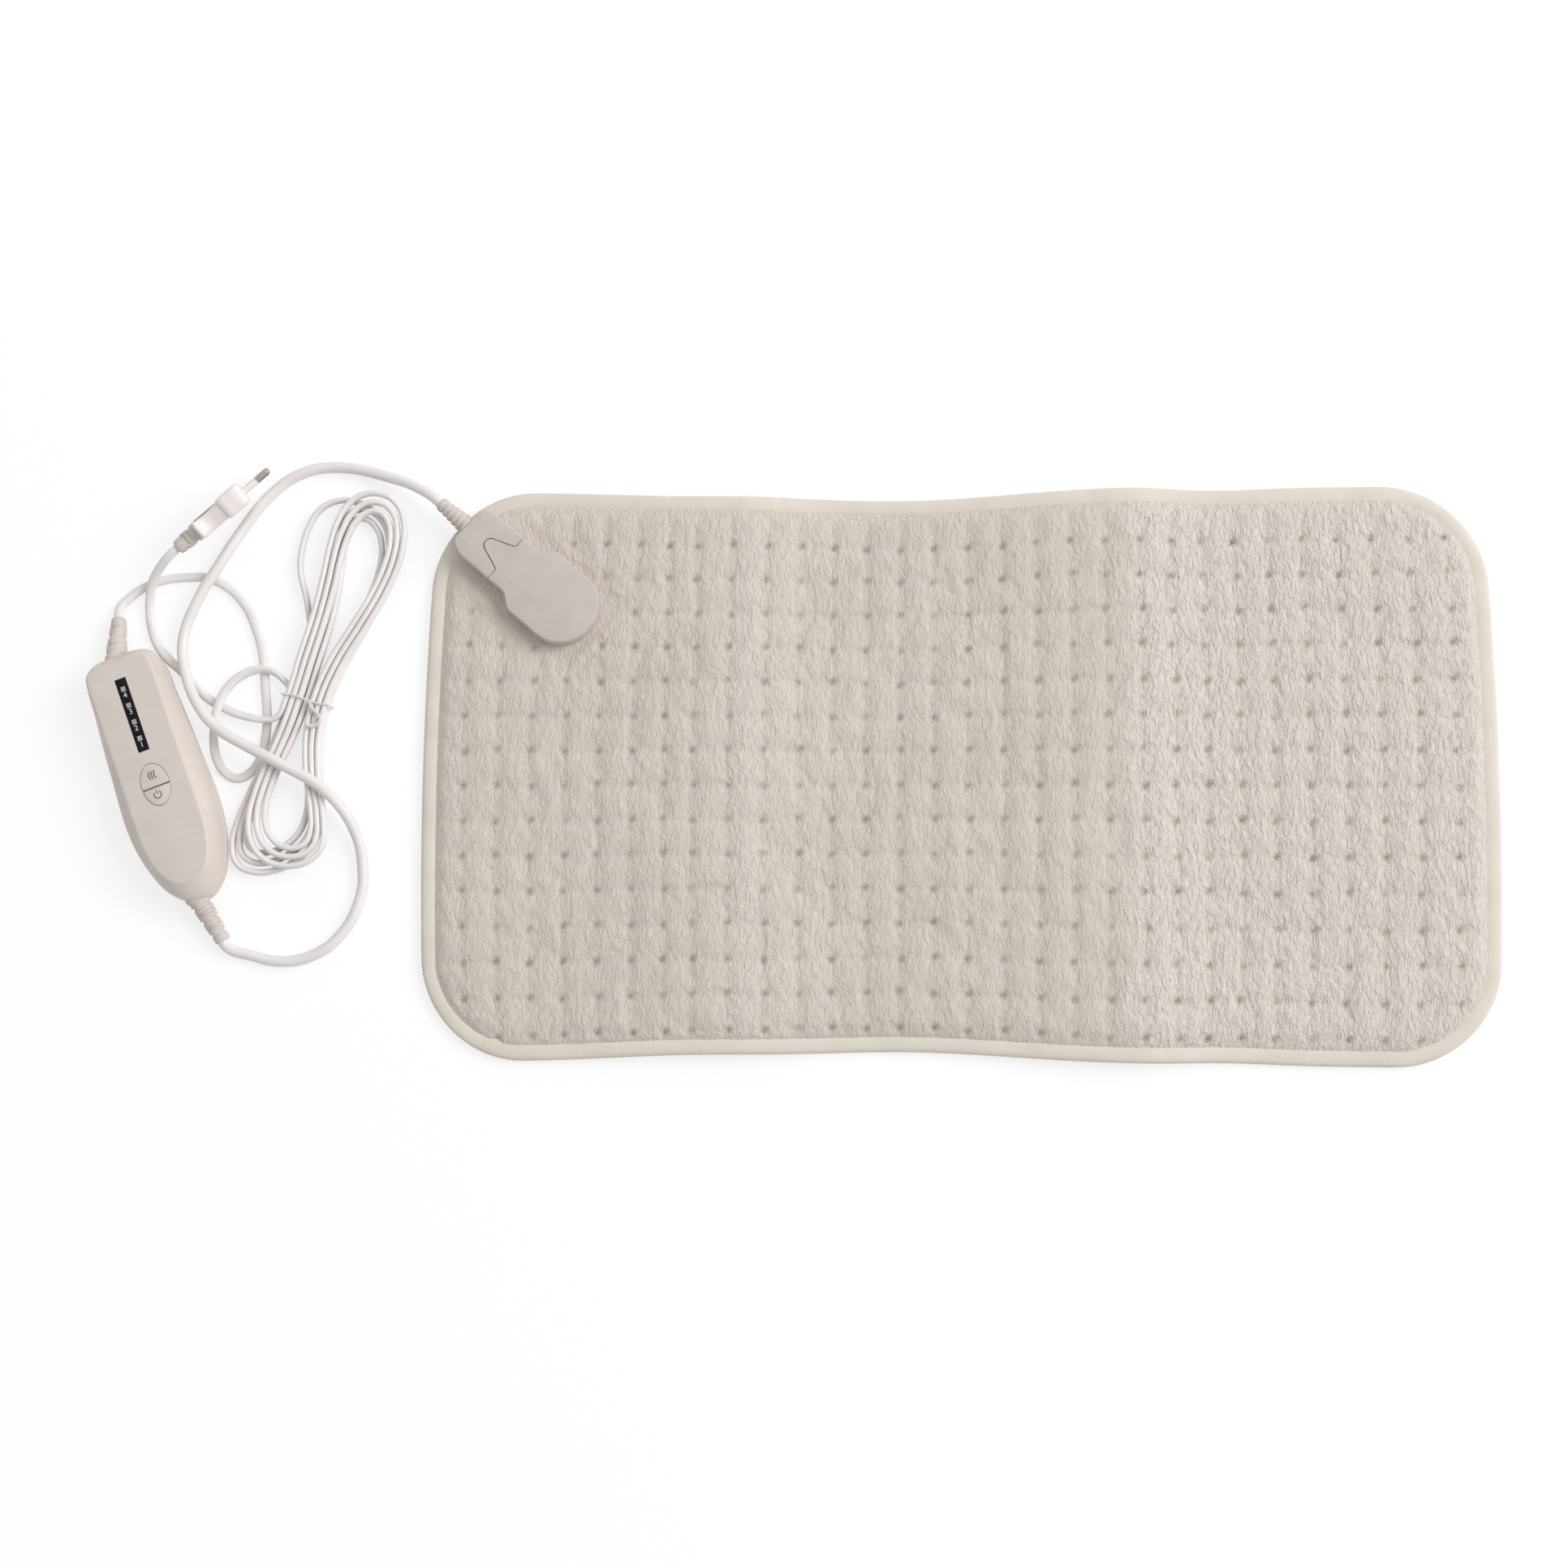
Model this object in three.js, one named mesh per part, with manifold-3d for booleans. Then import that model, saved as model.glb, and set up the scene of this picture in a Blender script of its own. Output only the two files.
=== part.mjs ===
// Heating pad with a plug-in cord set, a hand controller and a mains plug.
// Millimetres. The pad lies flat with its underside on z = 0, its long side along X,
// and the cord set lies to its left on the same floor.
import * as THREE from 'three';
import { mergeVertices } from 'three/addons/utils/BufferGeometryUtils.js';
import Module from 'manifold-3d';

// Gap left between pieces that touch
const GAP = 0.3;

// Pad outline, with the places and spreads of its drawn-in sides as shares of its length
const PAD_LENGTH = 610;
const PAD_WIDTH = 330;
const PAD_CORNER = 58;
const PAD_END_BOW = 5.5;
const PAD_DRAWS = [
  { at: -0.049, depth: 6.5, spread: 0.15 },
  { at: -0.26, depth: 3.0, spread: 0.1 },
  { at: 0.25, depth: 1.5, spread: 0.06 },
];

// Sewn edge tape
const BINDING_WIDTH = 11;
const BINDING_LEAF = 1.1;
const BINDING_WALL = 1.3;

// Fabric layers
const COVER_RIM = 1.5;
const REAR_COVER = 2.8;
const CARRIER = 1.2;
const WIRE = 2.0;
const WIRE_ROWS = 8;
const WIRE_ROW_STEP = 32;
const WIRE_END_MARGIN = 55;
const FRONT_SKIN = 1.6;
const TUFT_HEIGHT = 3.8;
const TUFT_COLUMNS = 30;
const TUFT_ROWS = 15;
const TUFT_MARGIN_SIDE = 24;
const TUFT_CORNER_INSET = 2;
const TUFT_MARGIN_TOP = 32;
const TUFT_MARGIN_BOTTOM = 14;
const PRESS_MARGIN = 12;
const CARRIER_INSET = 28;
const THERMOSTAT = [16, 9, 1.9];
const THERMOSTAT_AT = [40, 0];

// Pad socket and the cord's plug that slides into it
const SOCKET_FROM_LEFT = 48;
const SOCKET_FROM_TOP = 43;
const SOCKET_TURN = -40.5;
const SOCKET_NECK_HALF = 15.7;
const SOCKET_NECK_LENGTH = 12;
const SOCKET_STEP_LENGTH = 8;
const SOCKET_HALF = 21.9;
const SOCKET_LENGTH = 64;
const SOCKET_END = 20;
const SOCKET_BASE = 5;
const SOCKET_COVER = 6;
const SOCKET_ROUND = 1.5;
const TONGUE_LENGTH = 15.7;
const TONGUE_HALF = 8.6;
const TONGUE_THICK = 3;
const TONGUE_TIP_HALF = 4;
const TONGUE_TIP_ROUND = 1;
const CONNECTOR_LENGTH = 31;
const CONNECTOR_NECK_HALF = 11.4;
const CONNECTOR_CHAMFER = 6;
const CONNECTOR_ROUND = 1.2;
const CONTACT_COUNT = 3;
const CONTACT_STEP = 8;
const PIN_RADIUS = 1.2;
const PIN_INSIDE = 10;
const PIN_OUTSIDE = 12;
const SLEEVE_WALL = 0.7;
const SLEEVE_LENGTH = 14;

// Hand controller, with half widths at shares of its half length
const CASE_AT = [-455.9, -3.4];
const CASE_TURN = 21.2;
const CASE_LENGTH = 148;
const CASE_HALF = [16, 22, 23.6, 25, 26, 26.9, 27, 25.5, 22.2, 16.5];
const CASE_HALF_AT = [1, 0.865, 0.608, 0.338, 0.068, -0.162, -0.351, -0.541, -0.716, -0.892];
const CASE_NOSE_HALF = 9.5;
const CASE_HEIGHT = 25;
const CASE_PARTING = 10;
const CASE_WALL = 2;
const CASE_ROUND = 4;
const CASE_TOP_ROUND = 5;
const FACE_RISE = 1;
const FACE_HALF = 19;
const FACE_TOP_INSET = 6;
const FACE_BOTTOM_INSET = 8;
const FACE_CORNER = 4;
const FACE_FOOT = [8, 40];
const WINDOW = [6.5, 44.8, 1];
const WINDOW_LEDGE = 1;
const WINDOW_CUT = 10;
const WINDOW_AT = [-0.2, 35.8];
const BUTTON_AT = [-0.2, -7.2];
const BUTTON_HALF = 8.1;
const BUTTON_HALF_LENGTH = 12.5;
const BUTTON_SPLIT_AT = -1.4;
const BUTTON_SPLIT = 0.8;
const BUTTON_PROUD = 0.4;
const BUTTON_LIP = 1.2;
const BUTTON_LIP_SIZE = [5, 1];
const STEM_RADIUS = 2;
const HEAT_STEM_AT = 4.5;
const POWER_STEM_AT = -6.5;
const BOARD = [26, 92, 1.6];
const BOARD_AT = [0, 10];
const BOARD_LEVEL = 6;
const SWITCH = [6, 6, 3.5];
const PLUNGER_RADIUS = 1.7;
const PLUNGER_RISE = 1.2;
const PLUNGER_INSIDE = 2;
const PLUNGER_WELL = 3;
const LED = [4, 3, 1.5];
const LED_STEP = 11;
const LED_COUNT = 4;
const BOSS_RADIUS = 3.6;
const BOSS_BITE = 0.5;
const BOSS_SIDE = 17;
const BOSS_ROWS = [0.365, -0.23].map((share) => share * CASE_LENGTH);
const BOSS_PLACES = BOSS_ROWS.flatMap((y) => [[-BOSS_SIDE, y], [BOSS_SIDE, y]]);
const SCREW_RADIUS = 1.5;
const SCREW_LENGTH = 15;
const SCREW_HEAD_RADIUS = 2.5;
const SCREW_HEAD = 1.8;
const SCREW_SINK = 1.2;
const POST = [8, 5];
const POST_PLACES = [[0, 50], [0, -30]];
const TRIAC = [10, 4.5, 9];
const TRIAC_AT = [-6, -26];
const CAPACITOR = [12, 5, 8];
const CAPACITOR_AT = [5, -34];
const CHIP = [8, 8, 1.6];
const CHIP_AT = [-7.8, 16];
const FUSE_RADIUS = 2.4;
const FUSE_LENGTH = 14;
const FUSE_AT = [9.5, -20];

// Strain reliefs of the controller and of the connector
const RELIEF_ROOT_RADIUS = 5.6;
const RELIEF_TIP_RADIUS = 4.2;
const RELIEF_GROOVE = 0.9;
const RELIEF_NECK_RADIUS = 4;
const RELIEF_NECK = 6;
const RELIEF_KNEE = 3;
const RELIEF_HOLE_EXTRA = 3;
const RELIEF_ROOT_GAP = 1;
const UPPER_RELIEF = { length: 22, rings: 5, toward: [-0.05, 0.975, -0.21] };
const LOWER_RELIEF = { length: 25, rings: 6, toward: [0.5, -0.84, -0.2] };
const CONNECTOR_RELIEF = { length: 21, rings: 5 };

// Cords
const PAD_CORD_RADIUS = 3.2;
const MAINS_CORD_WIDE = 5.4;
const MAINS_CORD_THICK = 3.6;
const HANK_CORD_RADIUS = 1.7;
const HANK_TURNS = 6;
const HANK_LAYER = 4;
const HANK_WAIST_HALF = 14.6;
const HANK_WAIST_STEP = 4.5;
const HANK_WAIST_SHIFT = 1.1;
const HANK_END_STEP = 5.5;
const HANK_FOOT = { reach: 102, half: 60, step: 8.5 };
const HANK_HEAD = { reach: 129, half: 51, step: 8 };
const HANK_SPINE = [[-387, -61], [-387, -42], [-374.5, 39], [-343.5, 130], [-342, 167]];
const HANK_STEPS = 24;
const HANK_END_RUN = 8;
const HANK_CLIMB = 0.25;
const HANK_TURN_BIT = 0.004;
const TIE_WIDTH = 3;
const TIE_THICK = 1;
const TIE_SLACK = 0.6;

// Mains plug, lying on the edge of its flat body
const PLUG_AT = [-425, 151.3, 18.2];
const PLUG_AXIS = [0.745, 0.667, 0];
const PLUG_LEAN = 67;
const PLUG_LENGTH = 35;
const PLUG_FRONT_HALF = 16;
const PLUG_WAIST_HALF = 10.5;
const PLUG_REAR_HALF = 13.5;
const PLUG_THICK = 13.4;
const PLUG_ROUND = 2;
const PLUG_BLOCK = 8.7;
const PLUG_WING = 6.3;
const PLUG_WAIST_EASE = 1;
const PLUG_PIN_POINT = 1.5;
const PLUG_PIN_TIP_RADIUS = 1.2;
const PLUG_PIN_RADIUS = 2;
const PLUG_PIN_CORE = 1.3;
const PLUG_PIN_STEP = 18.6;
const PLUG_PIN_LENGTH = 19;
const PLUG_PIN_SLEEVE = 10;
const PLUG_PIN_ROOT = 8;
const PLUG_RELIEF = { length: 15, rings: 3 };
const PLUG_RELIEF_NECK_RADIUS = 3;

const wasm = await Module();
wasm.setup();
const { Manifold } = wasm;

// Closed body of a geometry, turned right side out
function closed(geometry) {
  geometry.deleteAttribute('normal');
  geometry.deleteAttribute('uv');
  const merged = mergeVertices(geometry, 1e-4);
  const points = merged.attributes.position.array;
  const triangles = [];
  let volume = 0;
  for (let i = 0; i < merged.index.count; i += 3) {
    const [a, b, c] = [0, 1, 2].map((k) => merged.index.getX(i + k));
    if (a === b || b === c || c === a) {
      continue;
    }
    triangles.push(a, b, c);
    const [p, q, r] = [a, b, c].map((k) => new THREE.Vector3().fromArray(points, 3 * k));
    volume += p.dot(q.cross(r));
  }
  if (volume < 0) {
    triangles.reverse();
  }
  const mesh = new wasm.Mesh({
    numProp: 3,
    vertProperties: new Float32Array(points),
    triVerts: new Uint32Array(triangles),
  });
  return new Manifold(mesh);
}

const joined = (...bodies) => bodies.reduce((a, b) => a.add(b));
const cut = (body, ...tools) => tools.reduce((a, b) => a.subtract(b), body);

// Plate with a plan outline between two heights. Its edges can be rounded, except the one kept square.
function plate(shape, low, high, { round = 0, square = '', fine = 6 } = {}) {
  const geometry = new THREE.ExtrudeGeometry(shape, {
    depth: high - low - 2 * round,
    bevelEnabled: round > 0,
    bevelThickness: round,
    bevelSize: round,
    bevelOffset: -round,
    bevelSegments: 2,
    curveSegments: fine,
  });
  geometry.translate(0, 0, low + round);
  if (square === 'bottom') {
    return joined(closed(geometry), plate(shape, low, low + 2 * round, { fine }));
  }
  if (square === 'top') {
    return joined(closed(geometry), plate(shape, high - 2 * round, high, { fine }));
  }
  return closed(geometry);
}

// Block standing on a height, centred in plan
function block([width, depth, height], [x, y], low) {
  const geometry = new THREE.BoxGeometry(width, depth, height);
  geometry.translate(x, y, low + height / 2);
  return closed(geometry);
}

// Turned piece with its profile of [radius, way along] set on an axis
function turned(profile, from, toward, sides = 12) {
  const points = profile.map(([radius, along]) => new THREE.Vector2(radius, along));
  const geometry = new THREE.LatheGeometry(points, sides);
  const axis = new THREE.Vector3(...toward).normalize();
  geometry.applyQuaternion(new THREE.Quaternion().setFromUnitVectors(new THREE.Vector3(0, 1, 0), axis));
  geometry.translate(...from);
  return closed(geometry);
}

// Straight round bar from one point to another
function rod(radius, from, to, sides = 12) {
  const way = to.map((value, i) => value - from[i]);
  const length = Math.hypot(...way);
  return turned([[0, 0], [radius, 0], [radius, length], [0, length]], from, way, sides);
}

// Ring-grooved strain relief that tapers away from its root
function relief(from, toward, { length, rings }, rootRadius, tipRadius) {
  const profile = [[0, 0]];
  const pitch = length / rings;
  for (let i = 0; i < rings; i += 1) {
    const radius = rootRadius + ((tipRadius - rootRadius) * (i + 0.5)) / rings;
    profile.push([radius, i * pitch]);
    profile.push([radius, (i + 0.62) * pitch]);
    if (i < rings - 1) {
      profile.push([radius - RELIEF_GROOVE, (i + 0.62) * pitch]);
      profile.push([radius - RELIEF_GROOVE, (i + 1) * pitch]);
    }
  }
  profile.push([tipRadius, length]);
  profile.push([0, length]);
  return turned(profile, from, toward, 10);
}

// Cord of oval section along a list of points. The first size stands across the cord's first normal.
function cord(points, across, along, steps, sides) {
  const section = new THREE.Shape();
  for (let i = 0; i < sides; i += 1) {
    const angle = (2 * Math.PI * (i + 0.5)) / sides;
    const corner = [(along / 2) * Math.cos(angle), (across / 2) * Math.sin(angle)];
    if (i === 0) {
      section.moveTo(...corner);
    } else {
      section.lineTo(...corner);
    }
  }
  section.closePath();
  const path = new THREE.CatmullRomCurve3(points.map((p) => new THREE.Vector3(...p)), false, 'centripetal');
  path.arcLengthDivisions = 40 * points.length;
  console.log(`cord of ${points.length} points is ${path.getLength().toFixed(0)} mm long`);
  const geometry = new THREE.ExtrudeGeometry(section, { extrudePath: path, steps, bevelEnabled: false });
  return closed(geometry);
}

const COLOURS = {
  fleece: [0xdcd2c3, 0.95],
  tape: [0xe0d6c8, 0.9],
  felt: [0xcfc8bd, 0.95],
  wire: [0xb9a58d, 0.6],
  shell: [0xd6ccc3, 0.45],
  connector_shell: [0xcdc3be, 0.45],
  soft_grip: [0xd4ccc6, 0.6],
  cord: [0xd7d2d0, 0.5],
  window: [0x0d0d0f, 0.2],
  board: [0x2c5a3a, 0.6],
  component: [0x26262a, 0.5],
  lamp: [0xe8ede6, 0.3],
  metal: [0xa9a49c, 0.3, 1],
};
const object = new THREE.Group();
object.name = 'heating_pad_with_controller';

// Named piece, moved from the frame it was drawn in to its place
function piece(name, body, look, place = new THREE.Matrix4()) {
  const mesh = body.getMesh();
  const geometry = new THREE.BufferGeometry();
  geometry.setAttribute('position', new THREE.BufferAttribute(new Float32Array(mesh.vertProperties), 3));
  geometry.setIndex(new THREE.BufferAttribute(new Uint32Array(mesh.triVerts), 1));
  geometry.applyMatrix4(place);
  geometry.computeVertexNormals();
  const [color, roughness, metalness = 0] = COLOURS[look];
  const node = new THREE.Mesh(geometry, new THREE.MeshStandardMaterial({ color, roughness, metalness }));
  node.name = name;
  object.add(node);
}

// Levels of the pad's layers, from the floor up
const REAR_RIM_LOW = BINDING_LEAF + GAP;
const CARRIER_LOW = REAR_COVER + GAP;
const WIRE_LOW = CARRIER_LOW + CARRIER + GAP;
const POCKET_TOP = WIRE_LOW + WIRE + GAP;
const TUFT_LEVEL = POCKET_TOP + FRONT_SKIN;
const FRONT_RIM_LOW = REAR_COVER + GAP;
const FRONT_RIM_TOP = FRONT_RIM_LOW + COVER_RIM;
const BINDING_TOP = FRONT_RIM_TOP + GAP + BINDING_LEAF;

// Place on the flat pad moved in by the draws along its sides and the bow of its ends
function drawn(x, y) {
  const side = y / (PAD_WIDTH / 2);
  const end = x / (PAD_LENGTH / 2);
  const share = x / PAD_LENGTH;
  const bump = ({ at, depth, spread }) => depth * Math.exp(-(((share - at) / spread) ** 2));
  const draw = PAD_DRAWS.reduce((sum, each) => sum + bump(each), 0);
  return [x - PAD_END_BOW * end * side * side, y - draw * side];
}

// Pad outline a given way in from its edge
function padOutline(inset, arcSteps = 10) {
  const straightX = PAD_LENGTH / 2 - PAD_CORNER;
  const straightY = PAD_WIDTH / 2 - PAD_CORNER;
  const radius = PAD_CORNER - inset;
  const points = [];
  const corners = [[1, 1], [-1, 1], [-1, -1], [1, -1]];
  corners.forEach(([sideX, sideY], corner) => {
    for (let i = 0; i <= arcSteps; i += 1) {
      const angle = ((corner + i / arcSteps) * Math.PI) / 2;
      const x = sideX * straightX + radius * Math.cos(angle);
      const y = sideY * straightY + radius * Math.sin(angle);
      points.push([x, y]);
    }
    const [fromX, fromY] = points[points.length - 1];
    const along = corner % 2 === 0 ? [-2 * sideX * straightX, 0] : [0, -2 * sideY * straightY];
    const parts = corner % 2 === 0 ? 14 : 4;
    for (let i = 1; i < parts; i += 1) {
      points.push([fromX + (along[0] * i) / parts, fromY + (along[1] * i) / parts]);
    }
  });
  return new THREE.Shape(points.map(([x, y]) => new THREE.Vector2(...drawn(x, y))));
}

// Socket frame: x runs from the split between socket and connector on to the pad
const SOCKET_AT = [-PAD_LENGTH / 2 + SOCKET_FROM_LEFT, PAD_WIDTH / 2 - SOCKET_FROM_TOP];
const socketPlace = new THREE.Matrix4().makeRotationZ(THREE.MathUtils.degToRad(SOCKET_TURN));
socketPlace.setPosition(...SOCKET_AT, 0);
const socketPlaceBack = socketPlace.clone().invert();

// Fleece that the socket and the connector press flat
function pressed(x, y) {
  const local = new THREE.Vector3(x, y, 0).applyMatrix4(socketPlaceBack);
  const inLength = local.x > -CONNECTOR_LENGTH - PRESS_MARGIN && local.x < SOCKET_LENGTH + PRESS_MARGIN;
  return inLength && Math.abs(local.y) < SOCKET_HALF + PRESS_MARGIN;
}

// Tufted front cover: tufts on a grid, a crown between each four of them, a thin rim for the tape
function frontCover() {
  const rims = [BINDING_WALL + GAP, BINDING_WIDTH + 2 * GAP];
  const spaced = (low, high, count) => {
    const step = (high - low) / (count - 1);
    return Array.from({ length: count }, (_, i) => low + i * step);
  };
  const endX = PAD_LENGTH / 2;
  const endY = PAD_WIDTH / 2;
  const xs = [rims[0] - endX, rims[1] - endX];
  xs.push(...spaced(TUFT_MARGIN_SIDE - endX, endX - TUFT_MARGIN_SIDE, TUFT_COLUMNS));
  xs.push(endX - rims[1], endX - rims[0]);
  const ys = [rims[0] - endY, rims[1] - endY];
  ys.push(...spaced(TUFT_MARGIN_BOTTOM - endY, endY - TUFT_MARGIN_TOP, TUFT_ROWS));
  ys.push(endY - rims[1], endY - rims[0]);
  const rimOf = (i, j) => Math.min(i, j, xs.length - 1 - i, ys.length - 1 - j);

  const placed = (i, j) => {
    const rim = rimOf(i, j);
    const overX = Math.abs(xs[i]) - (endX - PAD_CORNER);
    const overY = Math.abs(ys[j]) - (endY - PAD_CORNER);
    let [x, y] = [xs[i], ys[j]];
    if (overX > 0 && overY > 0) {
      const reach = Math.hypot(overX, overY);
      const most = PAD_CORNER - (rim < 2 ? rims[rim] : rims[1] + TUFT_CORNER_INSET);
      const scale = rim < 2 ? most / reach : Math.min(1, most / reach);
      x -= Math.sign(x) * overX * (1 - scale);
      y -= Math.sign(y) * overY * (1 - scale);
    }
    return drawn(x, y);
  };

  const positions = [];
  const triangles = [];
  const number = (i, j) => i * ys.length + j;
  for (let i = 0; i < xs.length; i += 1) {
    for (let j = 0; j < ys.length; j += 1) {
      positions.push(...placed(i, j), rimOf(i, j) < 2 ? FRONT_RIM_TOP : TUFT_LEVEL);
    }
  }
  for (let i = 0; i + 1 < xs.length; i += 1) {
    for (let j = 0; j + 1 < ys.length; j += 1) {
      const corners = [number(i, j), number(i + 1, j), number(i + 1, j + 1), number(i, j + 1)];
      const inner = Math.min(rimOf(i, j), rimOf(i + 1, j + 1)) >= 2;
      const x = corners.reduce((sum, k) => sum + positions[3 * k], 0) / 4;
      const y = corners.reduce((sum, k) => sum + positions[3 * k + 1], 0) / 4;
      if (inner && !pressed(x, y)) {
        const crown = positions.length / 3;
        positions.push(x, y, TUFT_LEVEL + TUFT_HEIGHT);
        corners.forEach((corner, k) => triangles.push(corner, corners[(k + 1) % 4], crown));
      } else {
        triangles.push(corners[0], corners[1], corners[2], corners[0], corners[2], corners[3]);
      }
    }
  }

  const lastX = xs.length - 1;
  const lastY = ys.length - 1;
  const edge = [];
  for (let i = 0; i < lastX; i += 1) {
    edge.push(number(i, 0));
  }
  for (let j = 0; j < lastY; j += 1) {
    edge.push(number(lastX, j));
  }
  for (let i = lastX; i > 0; i -= 1) {
    edge.push(number(i, lastY));
  }
  for (let j = lastY; j > 0; j -= 1) {
    edge.push(number(0, j));
  }
  const first = positions.length / 3;
  const outline = edge.map((k) => new THREE.Vector2(positions[3 * k], positions[3 * k + 1]));
  outline.forEach((p) => positions.push(p.x, p.y, FRONT_RIM_LOW));
  edge.forEach((k, n) => {
    const next = (n + 1) % edge.length;
    triangles.push(k, first + n, first + next, k, first + next, edge[next]);
  });
  THREE.ShapeUtils.triangulateShape(outline, []).forEach(([a, b, c]) => {
    triangles.push(first + a, first + c, first + b);
  });
  const geometry = new THREE.BufferGeometry();
  geometry.setAttribute('position', new THREE.Float32BufferAttribute(positions, 3));
  geometry.setIndex(triangles);
  return cut(closed(geometry), plate(padOutline(CARRIER_INSET, 4), FRONT_RIM_LOW - 1, POCKET_TOP));
}

// Heating wire laid to and fro across the carrier
function heatingWire() {
  const left = [];
  const right = [];
  const half = PAD_LENGTH / 2 - WIRE_END_MARGIN;
  const turn = WIRE_ROW_STEP / 2;
  for (let row = 0; row < WIRE_ROWS; row += 1) {
    const y = (row - (WIRE_ROWS - 1) / 2) * WIRE_ROW_STEP;
    const way = row % 2 === 0 ? 1 : -1;
    left.push([-way * half, y + (way * WIRE) / 2], [way * half, y + (way * WIRE) / 2]);
    right.push([-way * half, y - (way * WIRE) / 2], [way * half, y - (way * WIRE) / 2]);
    for (let i = 1; row + 1 < WIRE_ROWS && i < 8; i += 1) {
      const angle = -Math.PI / 2 + (Math.PI * i) / 8;
      const arc = (r) => [way * (half + r * Math.cos(angle)), y + turn + r * Math.sin(angle)];
      left.push(arc(turn - (way * WIRE) / 2));
      right.push(arc(turn + (way * WIRE) / 2));
    }
  }
  return new THREE.Shape([...left, ...right.reverse()].map(([x, y]) => new THREE.Vector2(x, y)));
}

// Pad layers
const rearRim = plate(padOutline(BINDING_WALL + GAP), REAR_RIM_LOW, REAR_COVER);
const rearMiddle = plate(padOutline(BINDING_WIDTH + GAP), 0, REAR_COVER);
piece('rear_cover', joined(rearRim, rearMiddle), 'fleece');
const carrierOutline = padOutline(CARRIER_INSET + GAP, 4);
piece('element_carrier', plate(carrierOutline, CARRIER_LOW, CARRIER_LOW + CARRIER), 'felt');
piece('heating_wire', plate(heatingWire(), WIRE_LOW, WIRE_LOW + WIRE), 'wire');
piece('overheat_thermostat', block(THERMOSTAT, THERMOSTAT_AT, WIRE_LOW), 'component');
piece('front_cover', frontCover(), 'fleece');
const tape = plate(padOutline(0), 0, BINDING_TOP);
const tapeMiddle = plate(padOutline(BINDING_WIDTH), -1, BINDING_TOP + 1);
const tapeChannel = plate(padOutline(BINDING_WALL), BINDING_LEAF, BINDING_TOP - BINDING_LEAF);
piece('edge_binding', cut(tape, tapeMiddle, tapeChannel), 'tape');

// Socket on the pad
const SOCKET_LOW = TUFT_LEVEL + GAP;
const CONTACT_LEVEL = SOCKET_LOW + SOCKET_BASE + GAP / 2;
const SOCKET_COVER_LOW = SOCKET_LOW + SOCKET_BASE + GAP;
const SOCKET_TOP = SOCKET_COVER_LOW + SOCKET_COVER;
const contactSides = Array.from(
  { length: CONTACT_COUNT },
  (_, i) => (i - (CONTACT_COUNT - 1) / 2) * CONTACT_STEP,
);

function socketShape() {
  const [neck, neckHalf, half] = [SOCKET_NECK_LENGTH, SOCKET_NECK_HALF, SOCKET_HALF];
  const wide = neck + SOCKET_STEP_LENGTH;
  const bend = SOCKET_STEP_LENGTH / 2;
  const shape = new THREE.Shape();
  shape.moveTo(0, -neckHalf);
  shape.lineTo(neck, -neckHalf);
  shape.bezierCurveTo(neck + bend, -neckHalf, wide - bend, -half, wide, -half);
  const round = SOCKET_LENGTH - SOCKET_END;
  shape.lineTo(round, -half);
  shape.absellipse(round, 0, SOCKET_END, half, -Math.PI / 2, Math.PI / 2, false);
  shape.lineTo(wide, half);
  shape.bezierCurveTo(wide - bend, half, neck + bend, neckHalf, neck, neckHalf);
  shape.lineTo(0, neckHalf);
  shape.closePath();
  return shape;
}

// Latch tongue that reaches back over the connector, or the recess it lies in when grown
function tongueShape(grown, root) {
  const tip = -TONGUE_LENGTH - grown;
  const bend = tip + TONGUE_TIP_HALF;
  const half = TONGUE_HALF + grown;
  const tipHalf = TONGUE_TIP_HALF + grown;
  const shape = new THREE.Shape();
  shape.moveTo(root, -half);
  shape.lineTo(0, -half);
  shape.lineTo(bend, -tipHalf);
  shape.quadraticCurveTo(tip, TONGUE_TIP_ROUND - tipHalf, tip, 0);
  shape.quadraticCurveTo(tip, tipHalf - TONGUE_TIP_ROUND, bend, tipHalf);
  shape.lineTo(0, half);
  shape.lineTo(root, half);
  shape.closePath();
  return shape;
}

const sleeveRadius = PIN_RADIUS + GAP + SLEEVE_WALL;
const sleeveBores = contactSides.map((y) =>
  rod(sleeveRadius + GAP, [-1, y, CONTACT_LEVEL], [SLEEVE_LENGTH + 2 * GAP, y, CONTACT_LEVEL]));
const socketBase = plate(socketShape(), SOCKET_LOW, SOCKET_LOW + SOCKET_BASE);
piece('socket_base', cut(socketBase, ...sleeveBores), 'connector_shell', socketPlace);
const roofEdges = { round: SOCKET_ROUND, square: 'bottom' };
const socketRoof = plate(socketShape(), SOCKET_COVER_LOW, SOCKET_TOP, roofEdges);
const tongue = plate(tongueShape(0, SOCKET_NECK_LENGTH), SOCKET_TOP - TONGUE_THICK, SOCKET_TOP);
piece('socket_cover', cut(joined(socketRoof, tongue), ...sleeveBores), 'connector_shell', socketPlace);
contactSides.forEach((y, i) => {
  const from = [GAP, y, CONTACT_LEVEL];
  const to = [GAP + SLEEVE_LENGTH, y, CONTACT_LEVEL];
  const pinWay = rod(PIN_RADIUS + GAP, [-1, y, CONTACT_LEVEL], [SLEEVE_LENGTH + 1, y, CONTACT_LEVEL]);
  const sleeve = cut(rod(sleeveRadius, from, to), pinWay);
  piece(`contact_sleeve_${i + 1}`, sleeve, 'metal', socketPlace);
});

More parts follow.
